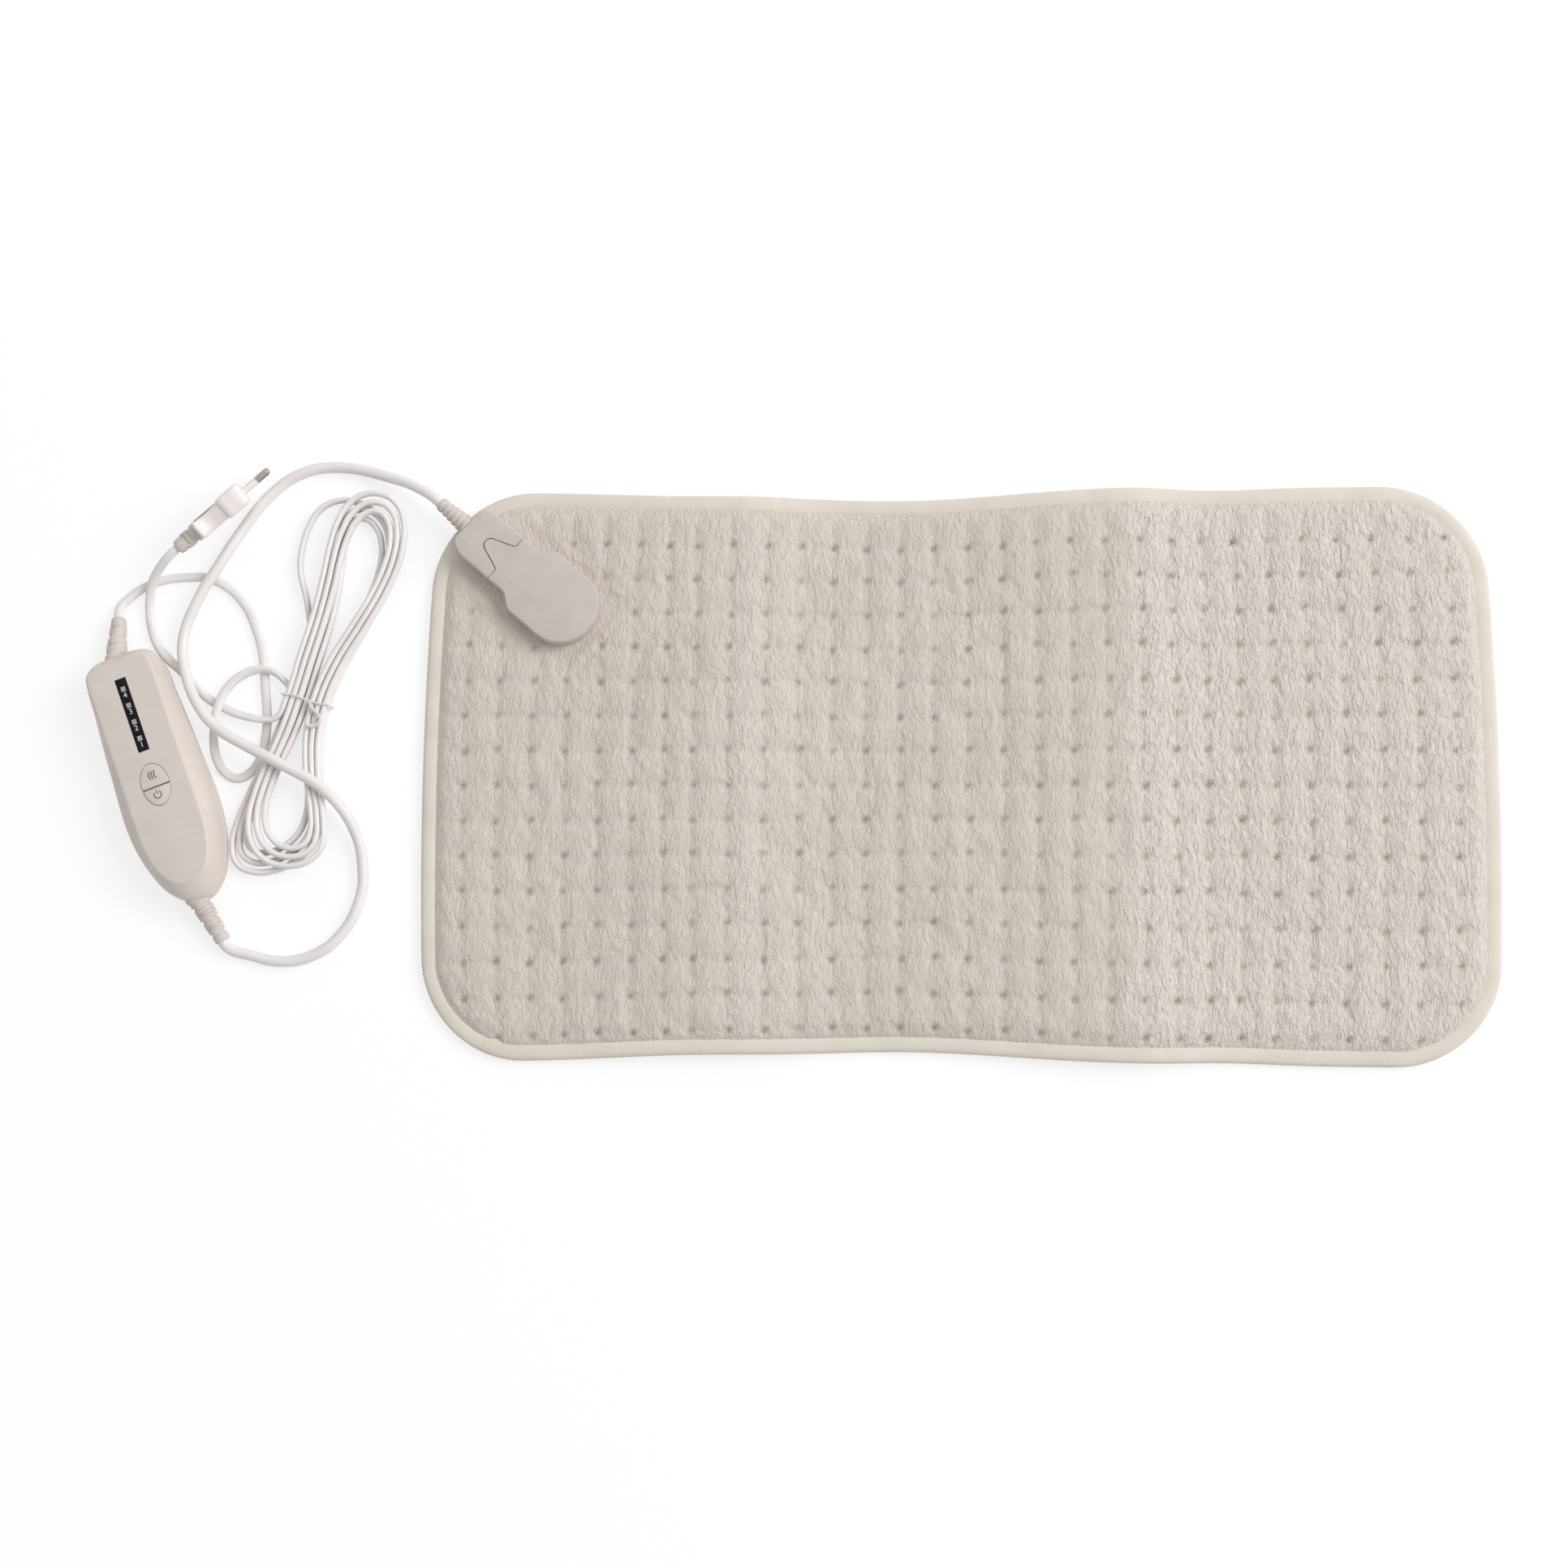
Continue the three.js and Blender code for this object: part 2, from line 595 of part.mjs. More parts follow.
// Connector on the end of the pad cord
const CONNECTOR_LOW = SOCKET_LOW + GAP;
const CONNECTOR_TOP = SOCKET_TOP - GAP;
const connectorShape = new THREE.Shape([
  [-GAP, -SOCKET_NECK_HALF],
  [-GAP, SOCKET_NECK_HALF],
  [-CONNECTOR_LENGTH + CONNECTOR_CHAMFER, SOCKET_NECK_HALF],
  [-CONNECTOR_LENGTH, CONNECTOR_NECK_HALF],
  [-CONNECTOR_LENGTH, -CONNECTOR_NECK_HALF],
  [-CONNECTOR_LENGTH + CONNECTOR_CHAMFER, -SOCKET_NECK_HALF],
].map(([x, y]) => new THREE.Vector2(x, y)));
const pinBores = contactSides.map((y) =>
  rod(PIN_RADIUS + GAP, [-PIN_INSIDE - GAP, y, CONTACT_LEVEL], [1, y, CONTACT_LEVEL]));
const neckInner = -CONNECTOR_LENGTH + RELIEF_NECK;
const neckBore = rod(
  RELIEF_NECK_RADIUS + GAP,
  [-CONNECTOR_LENGTH - 1, 0, CONTACT_LEVEL],
  [neckInner + GAP, 0, CONTACT_LEVEL],
);
const connectorParting = CONTACT_LEVEL - GAP / 2;
const connectorLower = plate(connectorShape, CONNECTOR_LOW, connectorParting);
piece('connector_lower_shell', cut(connectorLower, ...pinBores, neckBore), 'connector_shell', socketPlace);
const connectorRoof = { round: CONNECTOR_ROUND, square: 'bottom' };
const connectorUpper = plate(connectorShape, connectorParting + GAP, CONNECTOR_TOP, connectorRoof);
const tongueRecess = plate(tongueShape(GAP, GAP), SOCKET_TOP - TONGUE_THICK - GAP, SOCKET_TOP + 1);
const connectorCover = cut(connectorUpper, tongueRecess, ...pinBores, neckBore);
piece('connector_upper_shell', connectorCover, 'connector_shell', socketPlace);
contactSides.forEach((y, i) => {
  const pin = rod(PIN_RADIUS, [-PIN_INSIDE, y, CONTACT_LEVEL], [PIN_OUTSIDE, y, CONTACT_LEVEL]);
  piece(`contact_pin_${i + 1}`, pin, 'metal', socketPlace);
});
const connectorReliefRoot = [-CONNECTOR_LENGTH - GAP, 0, CONTACT_LEVEL];
const connectorRelief = joined(
  rod(RELIEF_NECK_RADIUS, [neckInner, 0, CONTACT_LEVEL], [-CONNECTOR_LENGTH - 2, 0, CONTACT_LEVEL]),
  relief(connectorReliefRoot, [-1, 0, 0], CONNECTOR_RELIEF, RELIEF_ROOT_RADIUS, RELIEF_TIP_RADIUS),
);
piece('connector_strain_relief', connectorRelief, 'soft_grip', socketPlace);

// Controller frame: y runs along the case to its square end
const casePlace = new THREE.Matrix4().makeRotationZ(THREE.MathUtils.degToRad(CASE_TURN));
casePlace.setPosition(...CASE_AT, 0);
const caseTurnBack = new THREE.Matrix4().makeRotationZ(-THREE.MathUtils.degToRad(CASE_TURN));
const FACE_LEVEL = CASE_HEIGHT + FACE_RISE;
const ROOF_LOW = CASE_HEIGHT - CASE_WALL;

// Case outline a given way in from its side wall
function caseShape(inset) {
  const nose = -CASE_LENGTH / 2 + inset;
  const right = CASE_HALF.map((half, i) => {
    const y = Math.min((CASE_HALF_AT[i] * CASE_LENGTH) / 2, CASE_LENGTH / 2 - inset);
    return new THREE.Vector2(half - inset, y);
  });
  right.push(new THREE.Vector2(CASE_NOSE_HALF - inset / 2, nose));
  const left = right.map((p) => new THREE.Vector2(-p.x, p.y)).reverse();
  const shape = new THREE.Shape();
  shape.moveTo(right[0].x, right[0].y);
  shape.splineThru(right.slice(1));
  shape.lineTo(left[0].x, left[0].y);
  shape.splineThru(left.slice(1));
  shape.closePath();
  return shape;
}

// Raised face with a rounded foot
function faceShape() {
  const top = CASE_LENGTH / 2 - FACE_TOP_INSET;
  const bottom = -CASE_LENGTH / 2 + FACE_BOTTOM_INSET;
  const [bend, foot] = FACE_FOOT;
  const shape = new THREE.Shape();
  shape.moveTo(FACE_HALF - FACE_CORNER, top);
  shape.lineTo(-FACE_HALF + FACE_CORNER, top);
  shape.quadraticCurveTo(-FACE_HALF, top, -FACE_HALF, top - FACE_CORNER);
  shape.lineTo(-FACE_HALF, bottom + foot);
  shape.quadraticCurveTo(-FACE_HALF, bottom + bend, 0, bottom);
  shape.quadraticCurveTo(FACE_HALF, bottom + bend, FACE_HALF, bottom + foot);
  shape.lineTo(FACE_HALF, top - FACE_CORNER);
  shape.quadraticCurveTo(FACE_HALF, top, FACE_HALF - FACE_CORNER, top);
  return shape;
}

// Part of the button oval above or below the split, or the whole oval grown for its hole
function ovalShape(part, grown = 0) {
  const halfX = BUTTON_HALF + grown;
  const halfY = BUTTON_HALF_LENGTH + grown;
  const shape = new THREE.Shape();
  const cutAt = BUTTON_SPLIT_AT + (part === 'heat' ? BUTTON_SPLIT / 2 : -BUTTON_SPLIT / 2);
  const angle = Math.asin(cutAt / halfY);
  const spans = {
    heat: [angle, Math.PI - angle],
    power: [Math.PI - angle, 2 * Math.PI + angle],
    whole: [0, 2 * Math.PI],
  };
  shape.absellipse(...BUTTON_AT, halfX, halfY, ...spans[part], false);
  shape.closePath();
  return shape;
}

const tube = (radius, [x, y], low, high) => rod(radius, [x, y, low], [x, y, high]);
const caseEnds = [CASE_LENGTH / 2, -CASE_LENGTH / 2];
const reliefHoles = caseEnds.map((y) => {
  const outside = [0, y + Math.sign(y) * GAP, CASE_PARTING];
  const inside = [0, y - Math.sign(y) * (CASE_WALL + RELIEF_HOLE_EXTRA), CASE_PARTING];
  return rod(RELIEF_NECK_RADIUS + GAP, outside, inside);
});
const fine = { fine: 2 };

// Bottom shell with its screw bosses and board posts
const headSeat = SCREW_SINK + SCREW_HEAD + GAP;
const bottomOuter = plate(caseShape(0), 0, CASE_PARTING, { round: CASE_ROUND, square: 'top', ...fine });
const bottomHollow = plate(caseShape(CASE_WALL), CASE_WALL, CASE_PARTING + 1, fine);
const bottomFittings = [
  ...BOSS_PLACES.map((at) => tube(BOSS_RADIUS, at, CASE_WALL / 2, CASE_PARTING)),
  ...POST_PLACES.map((at) => block([...POST, BOARD_LEVEL - GAP - CASE_WALL / 2], at, CASE_WALL / 2)),
];
const bottomHoles = [
  ...BOSS_PLACES.map((at) => tube(SCREW_RADIUS + GAP, at, -1, CASE_PARTING + 1)),
  ...BOSS_PLACES.map((at) => tube(SCREW_HEAD_RADIUS + GAP, at, -1, headSeat)),
];
const bottomTray = joined(cut(bottomOuter, bottomHollow), ...bottomFittings);
const bottomShell = cut(bottomTray, ...bottomHoles, ...reliefHoles);
piece('controller_bottom_shell', bottomShell, 'shell', casePlace);

// Top shell with the raised face, the window recess and the button hole
const topLow = CASE_PARTING + GAP;
const topOuter = joined(
  plate(caseShape(0), topLow, CASE_HEIGHT, { round: CASE_TOP_ROUND, square: 'bottom', ...fine }),
  plate(faceShape(), ROOF_LOW, FACE_LEVEL, { round: FACE_RISE, square: 'bottom', fine: 4 }),
);
const topHollow = plate(caseShape(CASE_WALL), topLow - 1, ROOF_LOW, fine);
const topBosses = BOSS_PLACES.map((at) => tube(BOSS_RADIUS, at, topLow, ROOF_LOW + BOSS_BITE));
const screwTop = headSeat - GAP + SCREW_LENGTH;
const windowLow = FACE_LEVEL - WINDOW[2];
const windowHole = [WINDOW[0] - 2 * WINDOW_LEDGE, WINDOW[1] - 2 * WINDOW_LEDGE, WINDOW_CUT];
const topHoles = [
  ...BOSS_PLACES.map((at) => tube(SCREW_RADIUS + GAP, at, topLow - 1, screwTop + GAP)),
  block([WINDOW[0] + 2 * GAP, WINDOW[1] + 2 * GAP, WINDOW_CUT], WINDOW_AT, windowLow - GAP),
  block(windowHole, WINDOW_AT, windowLow - WINDOW_CUT / 2),
  plate(ovalShape('whole', GAP), ROOF_LOW - 1, FACE_LEVEL + 1, { fine: 14 }),
];
const topShell = cut(joined(cut(topOuter, topHollow), ...topBosses), ...topHoles, ...reliefHoles);
piece('controller_top_shell', topShell, 'shell', casePlace);
piece('display_window', block(WINDOW, WINDOW_AT, windowLow), 'window', casePlace);
BOSS_PLACES.forEach((at, i) => {
  const screw = joined(
    tube(SCREW_HEAD_RADIUS, at, SCREW_SINK, SCREW_SINK + SCREW_HEAD),
    tube(SCREW_RADIUS, at, SCREW_SINK, screwTop),
  );
  piece(`shell_screw_${i + 1}`, screw, 'metal', casePlace);
});

// Circuit board and what stands on it
const partsLow = BOARD_LEVEL + BOARD[2] + GAP;
piece('circuit_board', block(BOARD, BOARD_AT, BOARD_LEVEL), 'board', casePlace);
piece('triac', block(TRIAC, TRIAC_AT, partsLow), 'component', casePlace);
piece('capacitor', block(CAPACITOR, CAPACITOR_AT, partsLow), 'component', casePlace);
piece('microcontroller', block(CHIP, CHIP_AT, partsLow), 'component', casePlace);
const fuseLevel = partsLow + FUSE_RADIUS;
const fuseEnds = [-FUSE_LENGTH / 2, FUSE_LENGTH / 2].map(
  (along) => [FUSE_AT[0], FUSE_AT[1] + along, fuseLevel],
);
piece('fuse', rod(FUSE_RADIUS, ...fuseEnds), 'lamp', casePlace);
for (let i = 0; i < LED_COUNT; i += 1) {
  const at = [WINDOW_AT[0], WINDOW_AT[1] + ((LED_COUNT - 1) / 2 - i) * LED_STEP];
  piece(`level_led_${LED_COUNT - i}`, block(LED, at, partsLow), 'lamp', casePlace);
}

// Buttons, each on a stem over the plunger of its switch
const switchTop = partsLow + SWITCH[2];
const plungerTop = switchTop + PLUNGER_RISE;
const stemsAt = { heat: HEAT_STEM_AT, power: POWER_STEM_AT };
Object.entries(stemsAt).forEach(([name, along]) => {
  const at = [BUTTON_AT[0], BUTTON_AT[1] + along];
  const well = tube(PLUNGER_RADIUS + GAP, at, switchTop - PLUNGER_WELL, switchTop + 1);
  piece(`${name}_switch`, cut(block(SWITCH, at, partsLow), well), 'component', casePlace);
  const plunger = tube(PLUNGER_RADIUS, at, switchTop - PLUNGER_INSIDE, plungerTop);
  piece(`${name}_plunger`, plunger, 'metal', casePlace);
  const lipTop = ROOF_LOW - GAP;
  const button = joined(
    plate(ovalShape(name), lipTop - BUTTON_LIP_SIZE[1], FACE_LEVEL + BUTTON_PROUD, { fine: 8 }),
    block([2 * (BUTTON_HALF + BUTTON_LIP), ...BUTTON_LIP_SIZE], at, lipTop - BUTTON_LIP_SIZE[1]),
    tube(STEM_RADIUS, at, plungerTop + GAP, lipTop - BUTTON_LIP_SIZE[1] / 2),
  );
  piece(`${name}_button`, button, 'shell', casePlace);
});

// Strain relief that leaves one end of the case and bends to lie towards a way in the room
function caseRelief(name, end, form) {
  const toward = new THREE.Vector3(...form.toward).normalize().applyMatrix4(caseTurnBack);
  const sign = Math.sign(end);
  const knee = new THREE.Vector3(0, end + sign * RELIEF_KNEE, CASE_PARTING);
  const root = knee.clone().addScaledVector(toward, RELIEF_ROOT_GAP);
  const bend = new THREE.SphereGeometry(RELIEF_NECK_RADIUS, 10, 8);
  bend.translate(...knee.toArray());
  const body = joined(
    rod(RELIEF_NECK_RADIUS, [0, end - sign * RELIEF_NECK, CASE_PARTING], knee.toArray()),
    closed(bend),
    relief(root.toArray(), toward.toArray(), form, RELIEF_ROOT_RADIUS, RELIEF_TIP_RADIUS),
  );
  piece(name, body, 'soft_grip', casePlace);
  const tip = root.addScaledVector(toward, form.length);
  return { tip: tip.applyMatrix4(casePlace), way: toward.transformDirection(casePlace) };
}

const upperEnd = caseRelief('upper_strain_relief', caseEnds[0], UPPER_RELIEF);
const lowerEnd = caseRelief('lower_strain_relief', caseEnds[1], LOWER_RELIEF);

// Mains plug frame: x to the pins, y across the flat body
const plugAxis = new THREE.Vector3(...PLUG_AXIS).normalize();
const plugSide = new THREE.Vector3(plugAxis.y, -plugAxis.x, 0);
const lean = THREE.MathUtils.degToRad(PLUG_LEAN);
const plugWide = plugSide.clone().multiplyScalar(Math.cos(lean)).add(new THREE.Vector3(0, 0, Math.sin(lean)));
const plugPlace = new THREE.Matrix4().makeBasis(plugAxis, plugWide, plugAxis.clone().cross(plugWide));
plugPlace.setPosition(...PLUG_AT);
const plugFront = PLUG_LENGTH / 2;
const plugRear = -PLUG_LENGTH / 2;

// Plug body drawn in at the finger grip
function plugShape() {
  const upper = [
    [plugFront - PLUG_BLOCK, PLUG_FRONT_HALF],
    [plugFront - 2 * PLUG_BLOCK, PLUG_WAIST_HALF + PLUG_WAIST_EASE],
    [plugRear + 2 * PLUG_WING, PLUG_WAIST_HALF],
    [plugRear + PLUG_WING, PLUG_REAR_HALF],
    [plugRear + PLUG_WING / 3, PLUG_REAR_HALF - PLUG_WING / 2],
    [plugRear, PLUG_REAR_HALF - PLUG_WING],
  ].map(([x, y]) => new THREE.Vector2(x, y));
  const lower = upper.map((p) => new THREE.Vector2(p.x, -p.y)).reverse();
  const shape = new THREE.Shape();
  shape.moveTo(plugFront, -PLUG_FRONT_HALF);
  shape.lineTo(plugFront, PLUG_FRONT_HALF);
  shape.lineTo(upper[0].x, upper[0].y);
  shape.splineThru(upper.slice(1));
  shape.lineTo(lower[0].x, lower[0].y);
  shape.splineThru(lower.slice(1));
  shape.closePath();
  return shape;
}

const plugPinSides = [-PLUG_PIN_STEP / 2, PLUG_PIN_STEP / 2];
const plugPinRoot = plugFront - PLUG_PIN_ROOT;
const plugPinBores = plugPinSides.map(
  (y) => rod(PLUG_PIN_CORE + GAP, [plugPinRoot - GAP, y, 0], [plugFront + 1, y, 0]),
);
const plugNeckEnd = plugRear + RELIEF_NECK;
const plugNeckBore = rod(PLUG_RELIEF_NECK_RADIUS + GAP, [plugRear - 1, 0, 0], [plugNeckEnd + GAP, 0, 0]);
const plugBlock = plate(plugShape(), -PLUG_THICK / 2, PLUG_THICK / 2, { round: PLUG_ROUND, fine: 2 });
piece('plug_body', cut(plugBlock, ...plugPinBores, plugNeckBore), 'shell', plugPlace);
plugPinSides.forEach((y, i) => {
  const sleeveEnd = plugFront + PLUG_PIN_SLEEVE;
  const tip = plugFront + PLUG_PIN_LENGTH;
  const profile = [
    [0, plugPinRoot],
    [PLUG_PIN_CORE, plugPinRoot],
    [PLUG_PIN_CORE, sleeveEnd + GAP],
    [PLUG_PIN_RADIUS, sleeveEnd + GAP],
    [PLUG_PIN_RADIUS, tip - PLUG_PIN_POINT],
    [PLUG_PIN_TIP_RADIUS, tip],
    [0, tip],
  ];
  piece(`plug_pin_${i + 1}`, turned(profile, [0, y, 0], [1, 0, 0]), 'metal', plugPlace);
  const outside = rod(PLUG_PIN_RADIUS, [plugFront + GAP, y, 0], [sleeveEnd, y, 0]);
  const inside = rod(PLUG_PIN_CORE + GAP, [plugFront - 1, y, 0], [tip, y, 0]);
  piece(`pin_sleeve_${i + 1}`, cut(outside, inside), 'soft_grip', plugPlace);
});
const plugReliefRoot = plugRear - GAP;
const plugRelief = joined(
  rod(PLUG_RELIEF_NECK_RADIUS, [plugNeckEnd, 0, 0], [plugReliefRoot - 2, 0, 0]),
  relief([plugReliefRoot, 0, 0], [-1, 0, 0], PLUG_RELIEF, RELIEF_ROOT_RADIUS, RELIEF_TIP_RADIUS),
);
piece('plug_strain_relief', plugRelief, 'soft_grip', plugPlace);

// Hank of the mains cord: loops that wind in, climb along one run and wind out again
const HANK_LOW = HANK_CORD_RADIUS + TIE_THICK + TIE_SLACK;
const hankSpine = new THREE.CatmullRomCurve3(HANK_SPINE.map(([x, y]) => new THREE.Vector3(x, y, 0)));
const hankSpineLength = hankSpine.getLength();
const hankWaist = (hankSpineLength - HANK_HEAD.reach + HANK_FOOT.reach) / 2;

// Place and direction on the spine, which runs on straight past its ends
function spineAt(along) {
  const share = THREE.MathUtils.clamp(along / hankSpineLength, 0, 1);
  const way = hankSpine.getTangentAt(share);
  const middle = hankSpine.getPointAt(share).addScaledVector(way, along - share * hankSpineLength);
  return { middle, way };
}

function hankPoint(turn) {
  const lap = Math.max(0, Math.min(turn, HANK_TURNS - turn));
  const angle = 2 * Math.PI * turn;
  const down = Math.sin(angle);
  const end = down > 0 ? HANK_FOOT : HANK_HEAD;
  const spread = Math.abs(down) ** 2;
  const waist = HANK_WAIST_HALF - HANK_WAIST_STEP * lap;
  const half = waist + (end.half - end.step * lap - waist) * spread;
  const { middle, way } = spineAt(hankWaist - down * (end.reach - HANK_END_STEP * lap));
  const side = HANK_WAIST_SHIFT - half * Math.cos(angle);
  const halfWay = HANK_TURNS / 2;
  const climb = THREE.MathUtils.smoothstep(turn, halfWay - HANK_CLIMB, halfWay + HANK_CLIMB);
  return [middle.x + way.y * side, middle.y - way.x * side, HANK_LOW + HANK_LAYER * climb];
}

const hankFirst = -HANK_END_RUN / (2 * Math.PI * HANK_HEAD.reach);
const hankLast = HANK_TURNS + HANK_END_RUN / (2 * Math.PI * HANK_FOOT.reach);
const hankPoints = [];
for (let i = 0; i <= HANK_TURNS * HANK_STEPS; i += 1) {
  hankPoints.push(hankPoint(hankFirst + ((hankLast - hankFirst) * i) / (HANK_TURNS * HANK_STEPS)));
}
const hankWide = 2 * HANK_CORD_RADIUS;
piece('mains_cord_hank', cord(hankPoints, hankWide, hankWide, HANK_TURNS * HANK_STEPS, 6), 'cord');

// Wire tie around the waist of the hank
const { middle: tieMiddle, way: tieWay } = spineAt(hankWaist);
const tieHalf = HANK_WAIST_HALF + HANK_CORD_RADIUS + TIE_SLACK;
const tieHigh = HANK_LAYER + 2 * (HANK_CORD_RADIUS + TIE_SLACK);
const tieLoop = (grown, width, low) => {
  const size = [2 * (tieHalf + grown), width, tieHigh + 2 * grown];
  return block(size, [0, 0], low);
};
const tieRing = cut(tieLoop(TIE_THICK, TIE_WIDTH, 0), tieLoop(0, TIE_WIDTH + 2, TIE_THICK));
const tiePlace = new THREE.Matrix4().makeRotationZ(Math.atan2(tieWay.y, tieWay.x) - Math.PI / 2);
tiePlace.setPosition(tieMiddle.x, tieMiddle.y, 0);
piece('hank_tie', tieRing, 'cord', tiePlace);

// Free stretches of cord, from gland to gland
const pointOn = ({ tip, way }, along) => tip.clone().addScaledVector(way, along).toArray();
const plugEnd = {
  tip: new THREE.Vector3(plugReliefRoot - PLUG_RELIEF.length, 0, 0).applyMatrix4(plugPlace),
  way: plugAxis.clone().negate(),
};
const connectorReliefTip = connectorReliefRoot[0] - CONNECTOR_RELIEF.length;
const connectorEnd = {
  tip: new THREE.Vector3(connectorReliefTip, 0, CONTACT_LEVEL).applyMatrix4(socketPlace),
  way: new THREE.Vector3(-1, 0, 0).transformDirection(socketPlace),
};

// End of the hank, with the way the cord runs on from it
function hankEnd(turn, inward) {
  const tip = new THREE.Vector3(...hankPoint(turn));
  return { tip, way: tip.clone().sub(new THREE.Vector3(...hankPoint(turn + inward))).normalize() };
}
const hankInEnd = hankEnd(hankFirst, HANK_TURN_BIT);
const hankOutEnd = hankEnd(hankLast, -HANK_TURN_BIT);

const padCord = [
  pointOn(connectorEnd, GAP), pointOn(connectorEnd, 8),
  [-330, 175, 7], [-364, 183, 3.4], [-383, 179, 3.4], [-402, 167, 3.4], [-415, 145, 4], [-429, 121, 7.8],
  [-440, 101, 7.8], [-447, 77, 7.2], [-448, 58, 8], [-439, 34, 10.4], [-424, 17, 11.6], [-405, 8, 12.2],
  [-381, -2, 13], [-361, -13, 12.6], [-344, -32, 8], [-336, -56, 4], [-338, -74, 3.4], [-349, -95, 3.4],
  [-367, -106, 3.4], [-386, -109, 3.4], [-400, -106, 3.6],
  pointOn(lowerEnd, 8), pointOn(lowerEnd, GAP),
];
piece('pad_cord', cord(padCord, 2 * PAD_CORD_RADIUS, 2 * PAD_CORD_RADIUS, 34, 8), 'cord');

const lead = [
  pointOn(upperEnd, GAP), pointOn(upperEnd, 7),
  [-482, 104, 2.4], [-474, 111, 2.1], [-463, 115, 2.1], [-448, 118, 2.1], [-439, 117, 2.1], [-426, 111, 2.1],
  [-414, 100, 2.1], [-406, 85, 2.1], [-400, 66, 2.1], [-399, 38, 2.1], [-401, 20, 2.1], [-406, 8, 2.1],
  [-412.5, 1.5, 2.1], [-419.5, 3.5, 2.6], [-425.5, 12, 3.4], [-428, 28, 5.6], [-426, 42, 6.6],
  [-418, 54, 6.6], [-408, 60, 6.6], [-399, 61, 5], [-393, 58, 3.4],
  pointOn(hankInEnd, 6), pointOn(hankInEnd, GAP),
];
piece('mains_cord_lead', cord(lead, MAINS_CORD_THICK, MAINS_CORD_WIDE, 34, 8), 'cord');

const tail = [
  pointOn(hankOutEnd, GAP), pointOn(hankOutEnd, 5),
  [-397, 22, 7], [-405.5, 24.5, 6.6], [-413, 30, 3.6], [-420, 35, 2.1], [-432, 43, 2.1], [-441, 49, 2.1],
  [-449, 57, 2.1], [-458, 70, 2.1], [-464, 85, 2.1], [-466, 100, 4.6], [-464, 112, 9], [-459, 120, 14],
  pointOn(plugEnd, 6), pointOn(plugEnd, GAP),
];
piece('mains_cord_tail', cord(tail, MAINS_CORD_WIDE, MAINS_CORD_THICK, 18, 8), 'cord');

export default object;
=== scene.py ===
# %% [markdown]
# A heating pad lies flat on a pale floor, seen almost straight from above, with its cord set
# to the left: a hand controller, a flat mains cord tied in a hank, and a two-pin mains plug.
# The imported model is loaded first. It is the fixed frame that every piece below is fitted to.

import math

import bmesh
import bpy
import numpy as np
from mathutils import Matrix, Vector, noise


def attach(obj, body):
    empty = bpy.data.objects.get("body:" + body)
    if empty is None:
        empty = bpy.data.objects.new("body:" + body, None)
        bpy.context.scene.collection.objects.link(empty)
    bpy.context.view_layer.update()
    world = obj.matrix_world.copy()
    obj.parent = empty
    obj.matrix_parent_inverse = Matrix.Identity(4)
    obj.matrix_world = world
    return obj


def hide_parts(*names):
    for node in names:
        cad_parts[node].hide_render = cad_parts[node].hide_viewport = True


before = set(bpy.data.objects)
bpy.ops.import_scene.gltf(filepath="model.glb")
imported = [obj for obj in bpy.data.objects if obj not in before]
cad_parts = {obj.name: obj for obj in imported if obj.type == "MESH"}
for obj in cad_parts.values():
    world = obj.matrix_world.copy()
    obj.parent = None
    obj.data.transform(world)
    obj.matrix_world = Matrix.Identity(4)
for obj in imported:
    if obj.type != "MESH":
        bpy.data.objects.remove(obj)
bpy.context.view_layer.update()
scene = bpy.context.scene

# %% [markdown]
# The camera stands about 1.33 m over the floor and looks down, a little from the near side and
# from the right. A lens of 54 mm on a 36 mm sensor gives the photograph's mild perspective. The
# camera's matrix is built from the way it looks, which keeps the picture's top edge level.

# %% Camera
CAMERA_AT = Vector((-0.0204, -0.1976, 1.3275))
CAMERA_WAY = Vector((-0.05698, 0.14240, -0.98817)).normalized()
LENS_MM, SENSOR_MM = 54.0, 36.0


def new_object(name, data):
    """Object of a mesh, a curve, a lamp or a camera, linked into the scene."""
    obj = bpy.data.objects.new(name, data)
    scene.collection.objects.link(obj)
    return obj


def add_camera():
    data = bpy.data.cameras.new("camera")
    data.lens = LENS_MM
    data.sensor_width = SENSOR_MM
    camera = new_object("camera", data)
    right = (Vector((1, 0, 0)) - CAMERA_WAY * CAMERA_WAY.x).normalized()
    up = right.cross(CAMERA_WAY)
    turn = Matrix((right, up, -CAMERA_WAY)).transposed()
    camera.matrix_world = Matrix.Translation(CAMERA_AT) @ turn.to_4x4()
    scene.camera = camera
    return camera


camera = add_camera()
print("camera height over the floor:", round(camera.location.z, 3), "m")

# %% [markdown]
# The floor is a plain white sheet. Seen by the camera it is mostly a steady white, so that the
# picture has a clean background, and the rest of it is an ordinary matt surface that keeps the
# soft shadows under the cords and the pad. The light is a broad lamp from the right, a weaker one
# from the far side and a pale world that fills the shadows.

# %% Floor, lamps and world
FLOOR_SIZE = 6.0
LAMPS = {
    "key_lamp": {"at": (4.6, 1.3, 4.0), "size": 3.6, "watts": 250.0},
    "far_lamp": {"at": (-0.4, 1.9, 1.6), "size": 1.8, "watts": 6.0},
}
WORLD_LEVEL = 0.50
GLOW_SHARE, GLOW_LEVEL = 0.66, 1.09
FLOOR_TONE = (0.92, 0.92, 0.92, 1)
WHITE = (1, 1, 1, 1)


def feed(tree, socket, value):
    """Gives an input a value, or links it where another node's output is given."""
    if isinstance(value, bpy.types.NodeSocket):
        tree.links.new(value, socket)
    else:
        socket.default_value = value


